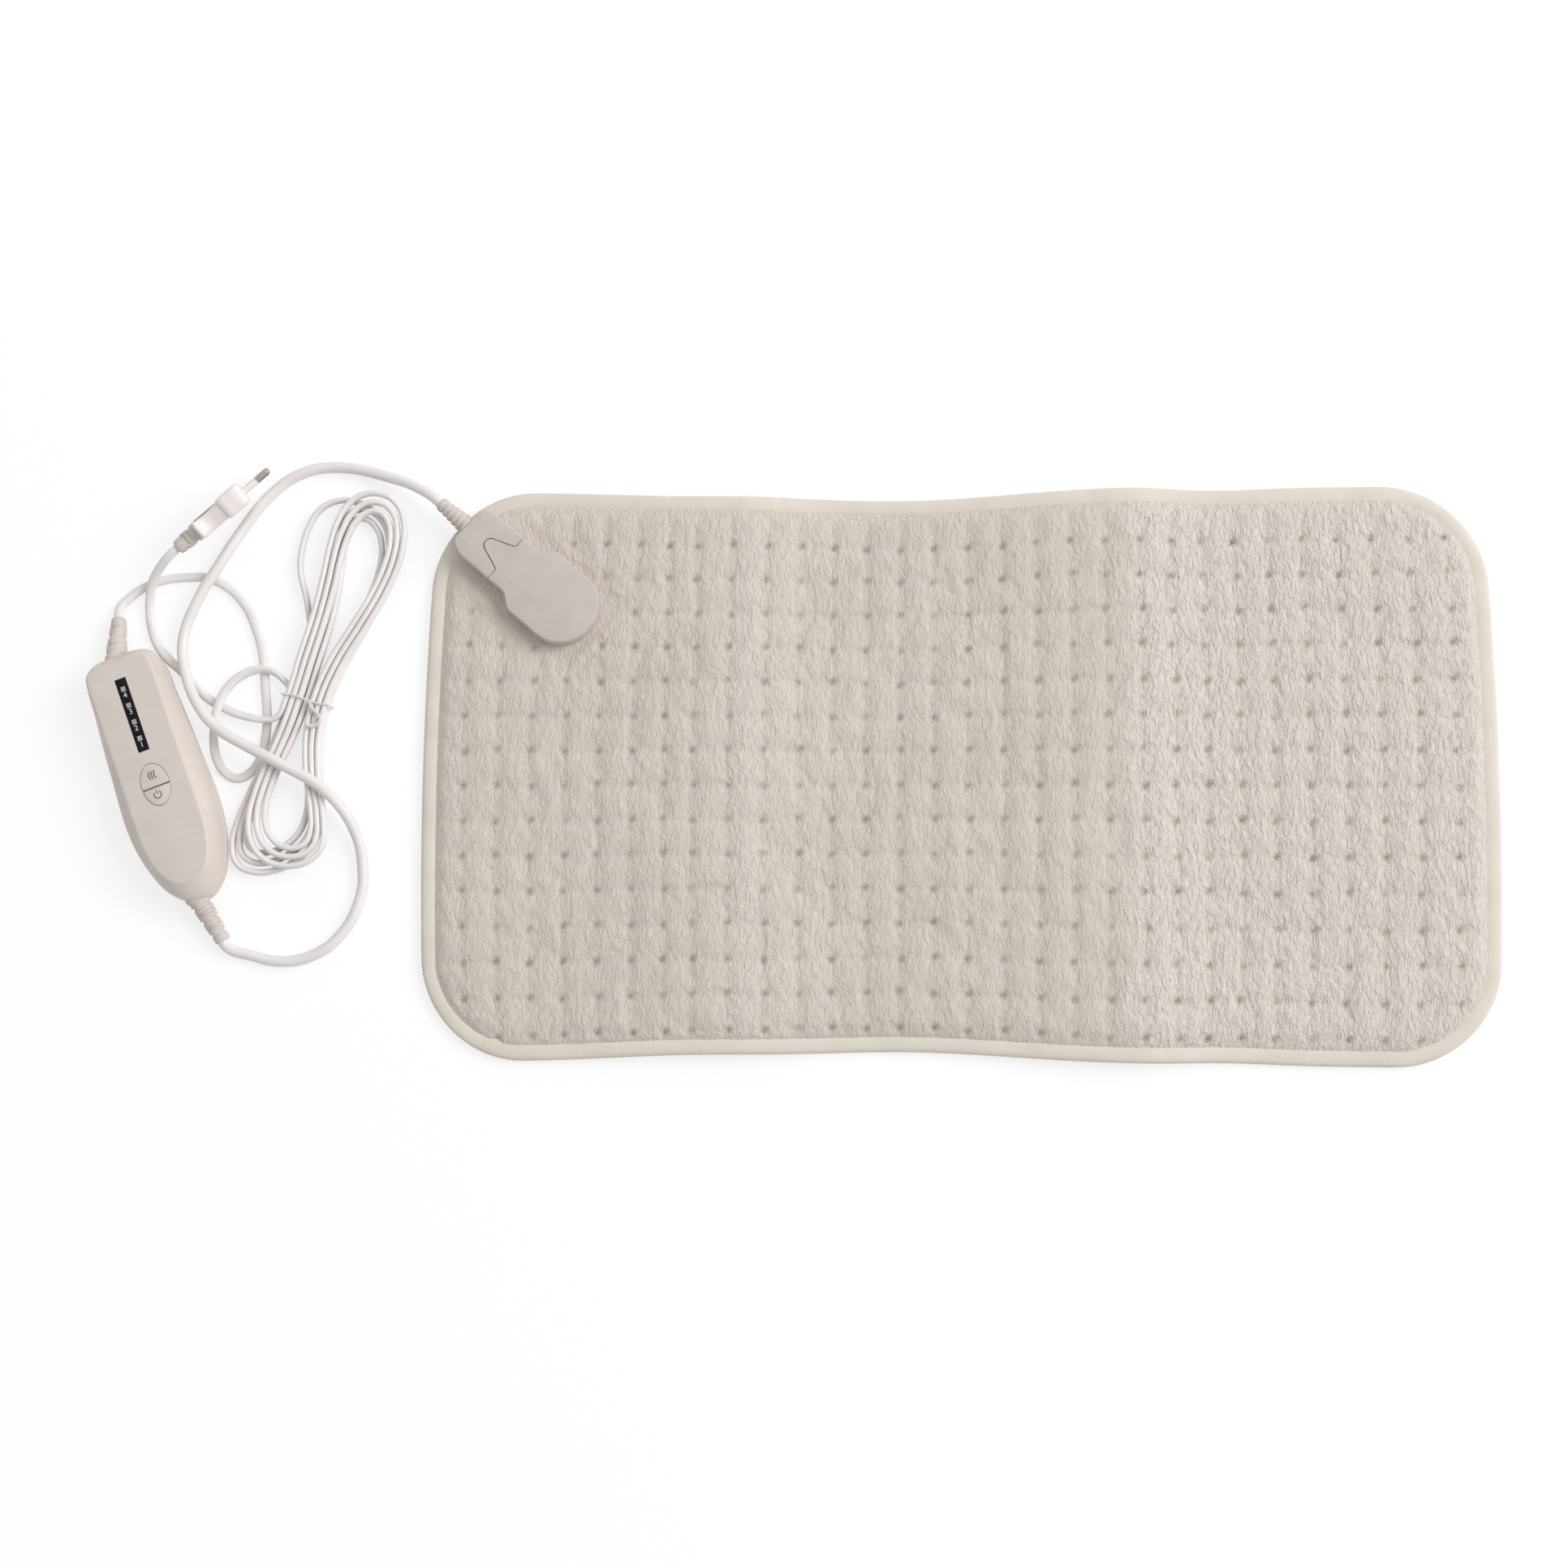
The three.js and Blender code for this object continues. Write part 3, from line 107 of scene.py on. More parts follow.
def set_inputs(tree, node, **inputs):
    """Feeds inputs by name, with an underscore for each space in the name."""
    for name, value in inputs.items():
        feed(tree, node.inputs[name.replace("_", " ")], value)


def add_node(tree, kind, **inputs):
    node = tree.nodes.new("ShaderNode" + kind)
    set_inputs(tree, node, **inputs)
    return node


def math_node(tree, operation, first, second):
    node = add_node(tree, "Math")
    node.operation = operation
    feed(tree, node.inputs[0], first)
    feed(tree, node.inputs[1], second)
    return node.outputs[0]


def ray_seen(tree):
    """1 for camera, mirror and glass rays, 0 for the rays that carry light."""
    rays = add_node(tree, "LightPath").outputs
    either = math_node(tree, "MAXIMUM", rays["Is Camera Ray"], rays["Is Glossy Ray"])
    return math_node(tree, "MAXIMUM", either, rays["Is Transmission Ray"])


def floor_material():
    material = bpy.data.materials.new("white_floor")
    material.use_nodes = True
    tree = material.node_tree
    tree.nodes.clear()
    share = math_node(tree, "MULTIPLY", ray_seen(tree), GLOW_SHARE)
    matt = add_node(tree, "BsdfDiffuse", Color=FLOOR_TONE)
    glow = add_node(tree, "Emission", Color=WHITE, Strength=GLOW_LEVEL)
    mix = add_node(tree, "MixShader")
    for socket, source in zip(mix.inputs, (share, matt.outputs[0], glow.outputs[0])):
        feed(tree, socket, source)
    add_node(tree, "OutputMaterial", Surface=mix.outputs[0])
    return material


def mesh_of(bm, name):
    """Mesh of a bmesh, which is used up."""
    mesh = bpy.data.meshes.new(name)
    bm.to_mesh(mesh)
    bm.free()
    return mesh


def add_floor():
    bm = bmesh.new()
    bmesh.ops.create_grid(bm, x_segments=1, y_segments=1, size=FLOOR_SIZE / 2)
    floor = new_object("floor", mesh_of(bm, "floor"))
    floor.data.materials.append(floor_material())


def add_lamp(name, at, size, watts):
    data = bpy.data.lights.new(name, "AREA")
    data.size = size
    data.energy = watts
    lamp = new_object(name, data)
    lamp.location = at
    lamp.rotation_euler = (-Vector(at)).to_track_quat("-Z", "Y").to_euler()


def set_world():
    world = bpy.data.worlds.new("pale_room")
    scene.world = world
    world.use_nodes = True
    tree = world.node_tree
    level = add_node(tree, "MapRange", Value=ray_seen(tree), To_Min=WORLD_LEVEL, To_Max=1.0)
    set_inputs(tree, tree.nodes["Background"], Color=WHITE, Strength=level.outputs[0])


add_floor()
for lamp_name, lamp in LAMPS.items():
    add_lamp(lamp_name, **lamp)
set_world()
scene.view_settings.view_transform = "Standard"
print("stage: floor and", len(LAMPS), "lamps")

# %% [markdown]
# Two cords lie on the floor. The pad cord is fat and round and limp, so it is a curve with a round
# bevel: Blender sweeps the circle along a smooth line through the points. The mains cord is flat,
# and it turns on to its edge where it is wound into the hank, so its points also carry a tilt, and
# an oval profile curve is swept along them. Points are taken along the cord, in metres, and the
# routes begin and end in the mouths of the strain reliefs.

# %% Cord routes
PAD_CORD_RADIUS = 0.0032
MAINS_WIDE, MAINS_THICK = 0.0054, 0.0036
CORD_INSIDE = 0.003
CONNECTOR_MOUTH = ((-0.2968, 0.1560, 0.0140), (-0.7604, 0.6494, 0.0))
UPPER_MOUTH = ((-0.4865, 0.0902, 0.0052), (-0.05, 0.975, -0.21))
LOWER_MOUTH = ((-0.4167, -0.0976, 0.0048), (0.5, -0.84, -0.2))
PLUG_MOUTH = ((-0.4494, 0.1294, 0.0182), (-0.745, -0.667, 0.0))
MOUTH_REACH = {"connector": 0.008, "upper": 0.007, "lower": 0.004, "plug": 0.005}

PAD_CORD_ROUTE = [
    (-0.3300, 0.1741, 0.0070), (-0.3640, 0.1810, 0.0034), (-0.3821, 0.1774, 0.0034),
    (-0.3984, 0.1662, 0.0034), (-0.4147, 0.1451, 0.0042), (-0.4281, 0.1210, 0.0078),
    (-0.4394, 0.1009, 0.0078), (-0.4472, 0.0772, 0.0074), (-0.4447, 0.0582, 0.0084),
    (-0.4337, 0.0351, 0.0108), (-0.4219, 0.0234, 0.0126), (-0.4062, 0.0142, 0.0144),
    (-0.3824, 0.0019, 0.0154), (-0.3608, -0.0107, 0.0142), (-0.3435, -0.0319, 0.0084),
    (-0.3376, -0.0560, 0.0042), (-0.3392, -0.0739, 0.0034), (-0.3498, -0.0943, 0.0034),
    (-0.3670, -0.1063, 0.0034), (-0.3855, -0.1089, 0.0034), (-0.4001, -0.1058, 0.0036),
]
LEAD_ROUTE = [
    (-0.4829, 0.1024, 0.0024), (-0.4739, 0.1095, 0.0020), (-0.4630, 0.1139, 0.0020),
    (-0.4480, 0.1157, 0.0020), (-0.4370, 0.1153, 0.0020), (-0.4257, 0.1109, 0.0020),
    (-0.4137, 0.0998, 0.0020), (-0.4061, 0.0851, 0.0020), (-0.4012, 0.0682, 0.0020),
    (-0.3992, 0.0505, 0.0020), (-0.3976, 0.0360, 0.0020), (-0.3976, 0.0220, 0.0020),
    (-0.4006, 0.0080, 0.0020), (-0.4060, 0.0000, 0.0020), (-0.4130, -0.0034, 0.0020),
    (-0.4200, -0.0006, 0.0022), (-0.4251, 0.0065, 0.0026), (-0.4276, 0.0166, 0.0034),
    (-0.4271, 0.0258, 0.0056), (-0.4252, 0.0383, 0.0064), (-0.4202, 0.0487, 0.0064),
    (-0.4118, 0.0565, 0.0064), (-0.4024, 0.0599, 0.0064), (-0.3946, 0.0589, 0.0058),
    (-0.3880, 0.0540, 0.0048),
]
TAIL_ROUTE = [
    (-0.3901, 0.0314, 0.0080), (-0.3979, 0.0302, 0.0076), (-0.4059, 0.0315, 0.0066),
    (-0.4147, 0.0343, 0.0044), (-0.4227, 0.0380, 0.0023), (-0.4316, 0.0430, 0.0020),
    (-0.4412, 0.0521, 0.0020), (-0.4498, 0.0606, 0.0020), (-0.4581, 0.0679, 0.0020),
    (-0.4640, 0.0755, 0.0020), (-0.4680, 0.0861, 0.0020), (-0.4693, 0.0972, 0.0030),
    (-0.4669, 0.1104, 0.0080), (-0.4600, 0.1196, 0.0144),
]
HANK_SPINE = [(-0.387, -0.061), (-0.387, -0.042), (-0.3745, 0.039), (-0.3435, 0.130), (-0.342, 0.167)]
HANK_TURNS = 6
HANK_STEPS = 30
HANK_LOW = 0.0037
HANK_LAYER = 0.0054
HANK_WAIST = {"half": 0.0125, "step": 0.0038, "shift": 0.0019}
HANK_END_STEP = 0.0055
HANK_FOOT = {"reach": 0.102, "half": 0.058, "step": 0.0085}
HANK_HEAD = {"reach": 0.129, "half": 0.050, "step": 0.0080}
HANK_END_RUN = 0.003


def smooth_line(points, closed=False):
    """Curve whose Bezier spline runs smoothly through the points."""
    data = bpy.data.curves.new("line", "CURVE")
    data.dimensions = "3D"
    data.resolution_u = 8
    spline = data.splines.new("BEZIER")
    spline.bezier_points.add(len(points) - 1)
    for knot, point in zip(spline.bezier_points, points):
        knot.co = point
        knot.handle_left_type = knot.handle_right_type = "AUTO"
    spline.use_cyclic_u = closed
    return data


def baked(obj):
    """New mesh of an object as its modifiers or curve settings shape it."""
    return bpy.data.meshes.new_from_object(obj.evaluated_get(bpy.context.evaluated_depsgraph_get()))


def curve_mesh(data):
    """New mesh of a curve, which stays."""
    holder = new_object("curve_holder", data)
    mesh = baked(holder)
    bpy.data.objects.remove(holder)
    return mesh


def line_points(data):
    """Places along a curve, as the vertices of its evaluated line."""
    mesh = curve_mesh(data)
    points = [vertex.co.copy() for vertex in mesh.vertices]
    bpy.data.meshes.remove(mesh)
    return points


def path_length(points):
    return sum((b - a).length for a, b in zip(points, points[1:]))


def mouth_points(mouth, reach):
    """A point inside a strain relief's mouth and one straight out in front of it."""
    at, way = Vector(mouth[0]), Vector(mouth[1]).normalized()
    return [at - way * CORD_INSIDE, at + way * reach]


spine_points = line_points(smooth_line([(x, y, 0) for x, y in HANK_SPINE]))
spine_length = path_length(spine_points)
hank_waist = (spine_length - HANK_HEAD["reach"] + HANK_FOOT["reach"]) / 2


def spine_at(along):
    """Place and direction on the hank's middle line."""
    for a, b in zip(spine_points, spine_points[1:]):
        step = (b - a).length
        if along <= step or b is spine_points[-1]:
            return a + (b - a) * (along / step), (b - a).normalized()
        along -= step


print("hank middle line:", round(spine_length * 1000), "mm, tied at", round(hank_waist * 1000), "mm")

# %% [markdown]
# Plain materials of plastic, rubber and cloth share one recipe: two near tones of the same colour,
# mixed by noise in object space, with a fine bump. Object space is used because the finished
# pieces sit unturned at the origin, so the grain has a real size in metres.

# %% Shared materials
TONE_SCALE, TONE_DETAIL, TONE_MARGIN = 60.0, 3.0, 0.3
BUMP_DETAIL, BUMP_STRENGTH = 2.0, 0.5


def material_nodes(name):
    material = bpy.data.materials.new(name)
    material.use_nodes = True
    tree = material.node_tree
    return material, tree, tree.nodes["Principled BSDF"]


def tone_ramp(tree, share, low, high, margin):
    """Colour from the low to the high tone. The margin is cut off at both ends of the share."""
    ramp = add_node(tree, "ValToRGB", Fac=share)
    for end, at, tone in zip(ramp.color_ramp.elements, (margin, 1 - margin), (low, high)):
        end.position = at
        end.color = (*tone, 1)
    return ramp.outputs["Color"]


def mixed_tones(tree, shader, low, high, scale):
    """Two tones mixed by noise in object space, on the shader's base colour."""
    place = add_node(tree, "TexCoord").outputs["Object"]
    grain = add_node(tree, "TexNoise", Vector=place, Scale=scale, Detail=TONE_DETAIL)
    set_inputs(tree, shader, Base_Color=tone_ramp(tree, grain.outputs["Fac"], low, high, TONE_MARGIN))
    return place


def fine_bump(tree, shader, place, scale, depth):
    grain = add_node(tree, "TexNoise", Vector=place, Scale=scale, Detail=BUMP_DETAIL)
    bump = add_node(tree, "Bump", Strength=BUMP_STRENGTH, Distance=depth, Height=grain.outputs["Fac"])
    set_inputs(tree, shader, Normal=bump.outputs["Normal"])


def plastic(name, low, high, rough, grain=900.0, depth=0.00004):
    material, tree, shader = material_nodes(name)
    place = mixed_tones(tree, shader, low, high, TONE_SCALE)
    fine_bump(tree, shader, place, grain, depth)
    set_inputs(tree, shader, Roughness=rough)
    return material


LOOKS = {
    "shell": plastic("warm_white_plastic", (0.67, 0.60, 0.55), (0.71, 0.64, 0.59), 0.42),
    "connector": plastic("warm_grey_plastic", (0.565, 0.51, 0.475), (0.61, 0.555, 0.52), 0.45),
    "grip": plastic("soft_grip_rubber", (0.62, 0.56, 0.52), (0.67, 0.61, 0.57), 0.6, 500.0),
    "cord": plastic("cord_sheath", (0.82, 0.78, 0.765), (0.88, 0.84, 0.825), 0.45, 350.0),
}
print("shared looks:", ", ".join(LOOKS))

# %% [markdown]
# The hank is worked out by a formula: loops around a curved middle line, drawn in at the waist
# where the tie holds them. Six turns wind inwards, climb to a second layer and wind out again. The
# loops of each layer slump to their own side, so the ends of the hank fan out, and the first loop
# stands out like an ear on the left of the head.

# %% Mains cord
LOWER_LEAN = {"foot": -0.011, "head": -0.006}
UPPER_LEAN = {"foot": 0.006, "head": 0.003}
EAR_REACH, EAR_FROM, EAR_RISE = 0.021, 0.2, 0.45
EAR_TURNS = (0.5, 1.0)
CLIMB_TURNS = 0.5
PLUG_LEAN = math.radians(67)
TURN_OVER = 5


def gentle(share):
    """Rise from 0 to 1 that starts and ends gently."""
    return share * share * (3 - 2 * share)


def eased(share):
    """Gentle rise, 0 before it and 1 after it."""
    return gentle(min(1.0, max(0.0, share)))


def hank_point(turn):
    lap = max(0.0, min(turn, HANK_TURNS - turn))
    angle = 2 * math.pi * turn
    down = math.sin(angle)
    end = HANK_FOOT if down > 0 else HANK_HEAD
    spread = down * down
    waist = HANK_WAIST["half"] - HANK_WAIST["step"] * lap
    half = waist + (end["half"] - end["step"] * lap - waist) * spread
    middle, way = spine_at(hank_waist - down * (end["reach"] - HANK_END_STEP * lap))
    climb = eased((turn - HANK_TURNS / 2) / CLIMB_TURNS + 0.5)
    lean = UPPER_LEAN if turn > HANK_TURNS / 2 else LOWER_LEAN
    side = HANK_WAIST["shift"] - half * math.cos(angle)
    side += lean["foot" if down > 0 else "head"] * spread**2
    if EAR_TURNS[0] < turn < EAR_TURNS[1]:
        side -= EAR_REACH * eased((-down - EAR_FROM) / EAR_RISE) * (1 + math.cos(angle)) / 2
    return Vector((middle.x + way.y * side, middle.y - way.x * side, HANK_LOW + HANK_LAYER * climb))


def hank_route():
    first = -HANK_END_RUN / (2 * math.pi * HANK_HEAD["reach"])
    last = HANK_TURNS + HANK_END_RUN / (2 * math.pi * HANK_FOOT["reach"])
    steps = HANK_TURNS * HANK_STEPS
    return [hank_point(first + (last - first) * i / steps) for i in range(steps + 1)]


def ramp(values, start, end):
    """Share of the way from start to end for each of that many steps."""
    return [start + (end - start) * (i + 1) / (values + 1) for i in range(values)]


def profile_curve(points, resolution):
    """Closed flat curve through the points, to be carried along a line."""
    data = smooth_line(points, True)
    data.dimensions = "2D"
    data.resolution_u = resolution
    return new_object("profile", data)


def swept_mesh(name, line, profile):
    """Mesh of a profile carried along a line. The profile is used up."""
    line.bevel_mode = "OBJECT"
    line.bevel_object = profile
    mesh = curve_mesh(line)
    mesh.name = name
    mesh.materials.clear()
    bpy.data.objects.remove(profile)
    return mesh


def oval_profile(wide, thick):
    corners = [(wide / 2, 0, 0), (0, thick / 2, 0), (-wide / 2, 0, 0), (0, -thick / 2, 0)]
    return profile_curve(corners, 4)


def add_mains_cord():
    start = mouth_points(UPPER_MOUTH, MOUTH_REACH["upper"])
    end = mouth_points(PLUG_MOUTH, MOUTH_REACH["plug"])[::-1]
    hank = hank_route()
    route = start + LEAD_ROUTE + hank + TAIL_ROUTE + end
    edge = math.pi / 2
    flat = [0.0] * (len(start) + len(LEAD_ROUTE) - TURN_OVER)
    tilts = flat + ramp(TURN_OVER, 0, edge) + [edge] * len(hank) + ramp(TURN_OVER, edge, 0)
    tilts += [0.0] * (len(route) - len(tilts) - TURN_OVER) + ramp(TURN_OVER, 0, PLUG_LEAN)
    line = smooth_line(route)
    line.twist_mode = "Z_UP"
    for knot, tilt in zip(line.splines[0].bezier_points, tilts):
        knot.tilt = tilt
    line.resolution_u = 5
    path = line_points(line)
    line.use_fill_caps = True
    mesh = swept_mesh("mains_cord", line, oval_profile(MAINS_WIDE, MAINS_THICK))
    mesh.materials.append(LOOKS["cord"])
    mesh.shade_smooth()
    return new_object("mains_cord", mesh), path


mains_cord, mains_path = add_mains_cord()
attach(mains_cord, "cord_set")
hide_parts("mains_cord_lead", "mains_cord_hank", "mains_cord_tail")

# %% [markdown]
# The pad cord lies on top of every strand that it crosses, in one long low hump, so its points lift
# gently over the hank and come down again before the controller.

# %% Pad cord
def add_pad_cord():
    start = mouth_points(CONNECTOR_MOUTH, MOUTH_REACH["connector"])
    end = mouth_points(LOWER_MOUTH, MOUTH_REACH["lower"])[::-1]
    line = smooth_line(start + PAD_CORD_ROUTE + end)
    length = path_length(line_points(line))
    line.bevel_depth = PAD_CORD_RADIUS
    line.bevel_resolution = 5
    line.use_fill_caps = True
    line.materials.append(LOOKS["cord"])
    line.name = "pad_cord_round"
    return new_object("pad_cord_round", line), length


pad_cord, pad_cord_length = add_pad_cord()
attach(pad_cord, "cord_set")
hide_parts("pad_cord")
print("pad cord:", round(pad_cord_length, 3), "m")

# %% [markdown]
# The pad is a long rounded rectangle whose sides are drawn in a little by the sewing and whose two
# old folds still stand up as low ridges. Every layer of the pad uses the same few functions: where
# a place on the flat pattern ends up, how far it is from the edge, and how high the ridges lift it.

# %% Pad shape
PAD_LENGTH, PAD_WIDTH, PAD_CORNER = 0.610, 0.330, 0.058
PAD_END_BOW = 0.0055
PAD_DRAWS = [(-0.049, 0.0065, 0.15), (-0.26, 0.003, 0.1), (0.25, 0.0015, 0.06)]
PAD_FOLDS = [
    {"at": -0.127, "left": 0.080, "right": 0.034, "rise": 0.0058},
    {"at": 0.100, "left": 0.085, "right": 0.030, "rise": 0.0062},
]
SOCKET_AT = Vector((-0.257, 0.122, 0))
SOCKET_WAY = Vector((0.7604, -0.6494, 0))


def edge_draw(x):
    """How far the sewing draws the long edges in."""
    return sum(depth * np.exp(-(((x / PAD_LENGTH - at) / spread) ** 2)) for at, depth, spread in PAD_DRAWS)


def drawn(x, y):
    """Place on the sewn pad of a place on the flat pattern."""
    side = y / (PAD_WIDTH / 2)
    return x - PAD_END_BOW * x / (PAD_LENGTH / 2) * side**2, y - edge_draw(x) * side


def flattened(x, y):
    """Place on the flat pattern of a place on the sewn pad."""
    side = y / (PAD_WIDTH / 2 - edge_draw(x))
    return x / (1 - PAD_END_BOW / (PAD_LENGTH / 2) * side**2), side * PAD_WIDTH / 2


def fold_rise(x):
    rise = np.zeros_like(x)
    for fold in PAD_FOLDS:
        reach = np.where(x < fold["at"], fold["left"], fold["right"])
        rise += fold["rise"] * np.exp(-(((x - fold["at"]) / reach) ** 2))
    return rise


def edge_distance(x, y):
    """How far a place on the flat pattern is inside the pad's edge."""
    over_x = np.abs(x) - (PAD_LENGTH / 2 - PAD_CORNER)
    over_y = np.abs(y) - (PAD_WIDTH / 2 - PAD_CORNER)
    round_part = np.hypot(np.maximum(over_x, 0), np.maximum(over_y, 0))
    return PAD_CORNER - round_part - np.minimum(np.maximum(over_x, over_y), 0)


def rounded(x, y, inset):
    """Moves the square corners of a flat grid on to the pad's round corners."""
    corner = PAD_CORNER - inset
    a = (np.abs(x) - (PAD_LENGTH / 2 - PAD_CORNER)) / corner
    b = (np.abs(y) - (PAD_WIDTH / 2 - PAD_CORNER)) / corner
    both = (a > 0) & (b > 0)
    round_a = np.where(both, a * np.sqrt(1 - np.clip(b, 0, 1) ** 2 / 2), a)
    round_b = np.where(both, b * np.sqrt(1 - np.clip(a, 0, 1) ** 2 / 2), b)
    x = np.sign(x) * (PAD_LENGTH / 2 - PAD_CORNER + round_a * corner)
    y = np.sign(y) * (PAD_WIDTH / 2 - PAD_CORNER + round_b * corner)
    return x, y


def socket_local(x, y):
    """Place along and across the socket, from the split between it and the connector."""
    x, y = x - SOCKET_AT.x, y - SOCKET_AT.y
    return x * SOCKET_WAY.x + y * SOCKET_WAY.y, y * SOCKET_WAY.x - x * SOCKET_WAY.y


def mesh_places(mesh):
    places = np.empty(len(mesh.vertices) * 3)
    mesh.vertices.foreach_get("co", places)
    return places.reshape(-1, 3)


def set_places(mesh, places):
    mesh.vertices.foreach_set("co", places.ravel())
    mesh.update()


ridge_tops = fold_rise(np.array([fold["at"] for fold in PAD_FOLDS]))
print("folds lift the pad by", [round(top * 1000, 1) for top in ridge_tops], "mm")

# %% [markdown]
# The front cover is plush fleece over a thin filling, spot-welded in a grid of small dimples. It
# begins as a flat grid with rounded corners. A short cloth simulation, held at the dimples, at the
# rim and under the socket, lets the fleece grow a little and puff up between them, which gives each
# pillow its own creases. Dimples, ridges and the clumps of the pile are added on the finer mesh.

# %% Front cover shape
COVER_INSET = 0.007
COVER_RIM = 0.0044
COVER_RISE = 0.0046
COVER_SOFTNESS = 0.0055
COVER_STEP = 0.0025
PILLOW_RISE = 0.0010
PILLOW_POWER = 0.8
PILLOW_FROM_RIM = 0.01
FLUTE_SHARE = 0.6
TUFT_COLUMNS, TUFT_ROWS = 30, 15
TUFT_MARGIN = {"ends": 0.024, "near": 0.014, "far": 0.032}
TUFT_FIRST = (-PAD_LENGTH / 2 + TUFT_MARGIN["ends"], -PAD_WIDTH / 2 + TUFT_MARGIN["near"])
TUFT_LAST = (PAD_LENGTH / 2 - TUFT_MARGIN["ends"], PAD_WIDTH / 2 - TUFT_MARGIN["far"])
TUFT_STEP = (
    (TUFT_LAST[0] - TUFT_FIRST[0]) / (TUFT_COLUMNS - 1),
    (TUFT_LAST[1] - TUFT_FIRST[1]) / (TUFT_ROWS - 1),
)
TUFT_FROM_EDGE, TUFT_FROM_SOCKET = 0.0112, 0.003
TUFT_SEED = 11
TUFT_WANDER = 0.0005
TUFT_DEPTHS = (0.75, 1.15)
BUNCHED_AT = (-0.29, -0.17, -0.145, -0.11, 0.0, 0.11, 0.145, 0.19, 0.25, 0.29)
BUNCHED_BY = (0.0, 0.0, 0.004, 0.002, 0.0028, 0.0008, 0.004, 0.005, 0.003, 0.0)
PRESS_LENGTH = (-0.031, 0.064)
PRESS_HALF = 0.0219
PRESS_SOFTNESS = 0.007
PRESS_LEVEL = 0.0084


def press_distance(x, y):
    """How far a place is outside the footprint of the socket and the connector."""
    along, across = socket_local(x, y)
    past = np.maximum(PRESS_LENGTH[0] - along, along - PRESS_LENGTH[1])
    return np.maximum(past, np.abs(across) - PRESS_HALF)


def tuft_number(x, y):
    """Column and row of places on the flat pattern, with fractions. The fleece bunches by the folds."""
    bunched = x + np.interp(x, BUNCHED_AT, BUNCHED_BY)
    return (bunched - TUFT_FIRST[0]) / TUFT_STEP[0], (y - TUFT_FIRST[1]) / TUFT_STEP[1]


def tuft_offsets(x, y, jitter):
    """For places on the flat pattern: offset from the nearest dimple, and 0 where that one is left out."""
    column, row = tuft_number(x, y)
    column = np.clip(np.rint(column), 0, TUFT_COLUMNS - 1).astype(int)
    row = np.clip(np.rint(row), 0, TUFT_ROWS - 1).astype(int)
    at_x = TUFT_FIRST[0] + column * TUFT_STEP[0]
    at_x = at_x - np.interp(at_x, BUNCHED_AT, BUNCHED_BY)
    at_y = TUFT_FIRST[1] + row * TUFT_STEP[1]
    present = edge_distance(at_x, at_y) > TUFT_FROM_EDGE
    present &= press_distance(*drawn(at_x, at_y)) > TUFT_FROM_SOCKET
    at_x = at_x + jitter["x"][column, row]
    at_y = at_y + jitter["y"][column, row]
    return x - at_x, y - at_y, present * jitter["depth"][column, row]


def tuft_jitter():
    random = np.random.default_rng(TUFT_SEED)
    size = (TUFT_COLUMNS, TUFT_ROWS)
    return {
        "x": random.normal(0, TUFT_WANDER, size),
        "y": random.normal(0, TUFT_WANDER, size),
        "depth": random.uniform(*TUFT_DEPTHS, size),
    }


def cover_level(x, y):
    """Height of the smooth cover over the flat pattern, before dimples and folds."""
    inside = np.maximum(edge_distance(x, y) - COVER_INSET, 0)
    level = COVER_RIM + COVER_RISE * (1 - np.exp(-inside / COVER_SOFTNESS))
    column, row = tuft_number(x, y)
    over_column = np.abs(np.sin(column * math.pi)) ** PILLOW_POWER
    over_row = np.abs(np.sin(row * math.pi)) ** PILLOW_POWER
    pillow = over_column * (FLUTE_SHARE + (1 - FLUTE_SHARE) * over_row)
    level += PILLOW_RISE * pillow * np.clip(inside / PILLOW_FROM_RIM, 0, 1)
    near = gentle(np.clip(press_distance(*drawn(x, y)) / PRESS_SOFTNESS, 0, 1))
    return np.where(near < 1, np.minimum(level, PRESS_LEVEL + (level - PRESS_LEVEL) * near), level)


def cover_grid():
    """Flat grid over the cover's pattern, moved to the sewn outline and lifted to its level."""
    columns = round((PAD_LENGTH - 2 * COVER_INSET) / COVER_STEP)
    rows = round((PAD_WIDTH - 2 * COVER_INSET) / COVER_STEP)
    bm = bmesh.new()
    bmesh.ops.create_grid(bm, x_segments=columns, y_segments=rows, size=1)
    scale = Vector((PAD_LENGTH / 2 - COVER_INSET, PAD_WIDTH / 2 - COVER_INSET, 1))
    bmesh.ops.scale(bm, vec=scale, verts=bm.verts)
    mesh = mesh_of(bm, "front_cover_fleece")
    places = mesh_places(mesh)
    x, y = rounded(places[:, 0], places[:, 1], COVER_INSET)
    places[:, 2] = cover_level(x, y)
    places[:, 0], places[:, 1] = drawn(x, y)
    set_places(mesh, places)
    return mesh


cover_mesh = cover_grid()
print("cover grid:", len(cover_mesh.vertices), "points")

# %% [markdown]
# In the simulation the cloth may only move a few millimetres. Pins are a vertex group with weight 1:
# the rim, the dimples and the patch under the socket. Gravity is off, because the filling carries
# the fleece, and a slight pressure on the growing fabric does the puffing.

# %% Front cover cloth
PUFF_FRAMES = 20
PUFF_GROWTH = 0.009
PUFF_PRESSURE = 0.6
PUFF_LIMIT = 0.0022
HELD_DIMPLE, HELD_RIM, HELD_SOCKET = 0.0021, 0.0045, 0.004


def pinned_points(places, jitter):
    x, y = flattened(places[:, 0], places[:, 1])
    off_x, off_y, present = tuft_offsets(x, y, jitter)
    held = (np.hypot(off_x, off_y) < HELD_DIMPLE) & (present > 0)
    held |= edge_distance(x, y) < COVER_INSET + HELD_RIM
    held |= press_distance(places[:, 0], places[:, 1]) < HELD_SOCKET
    return held


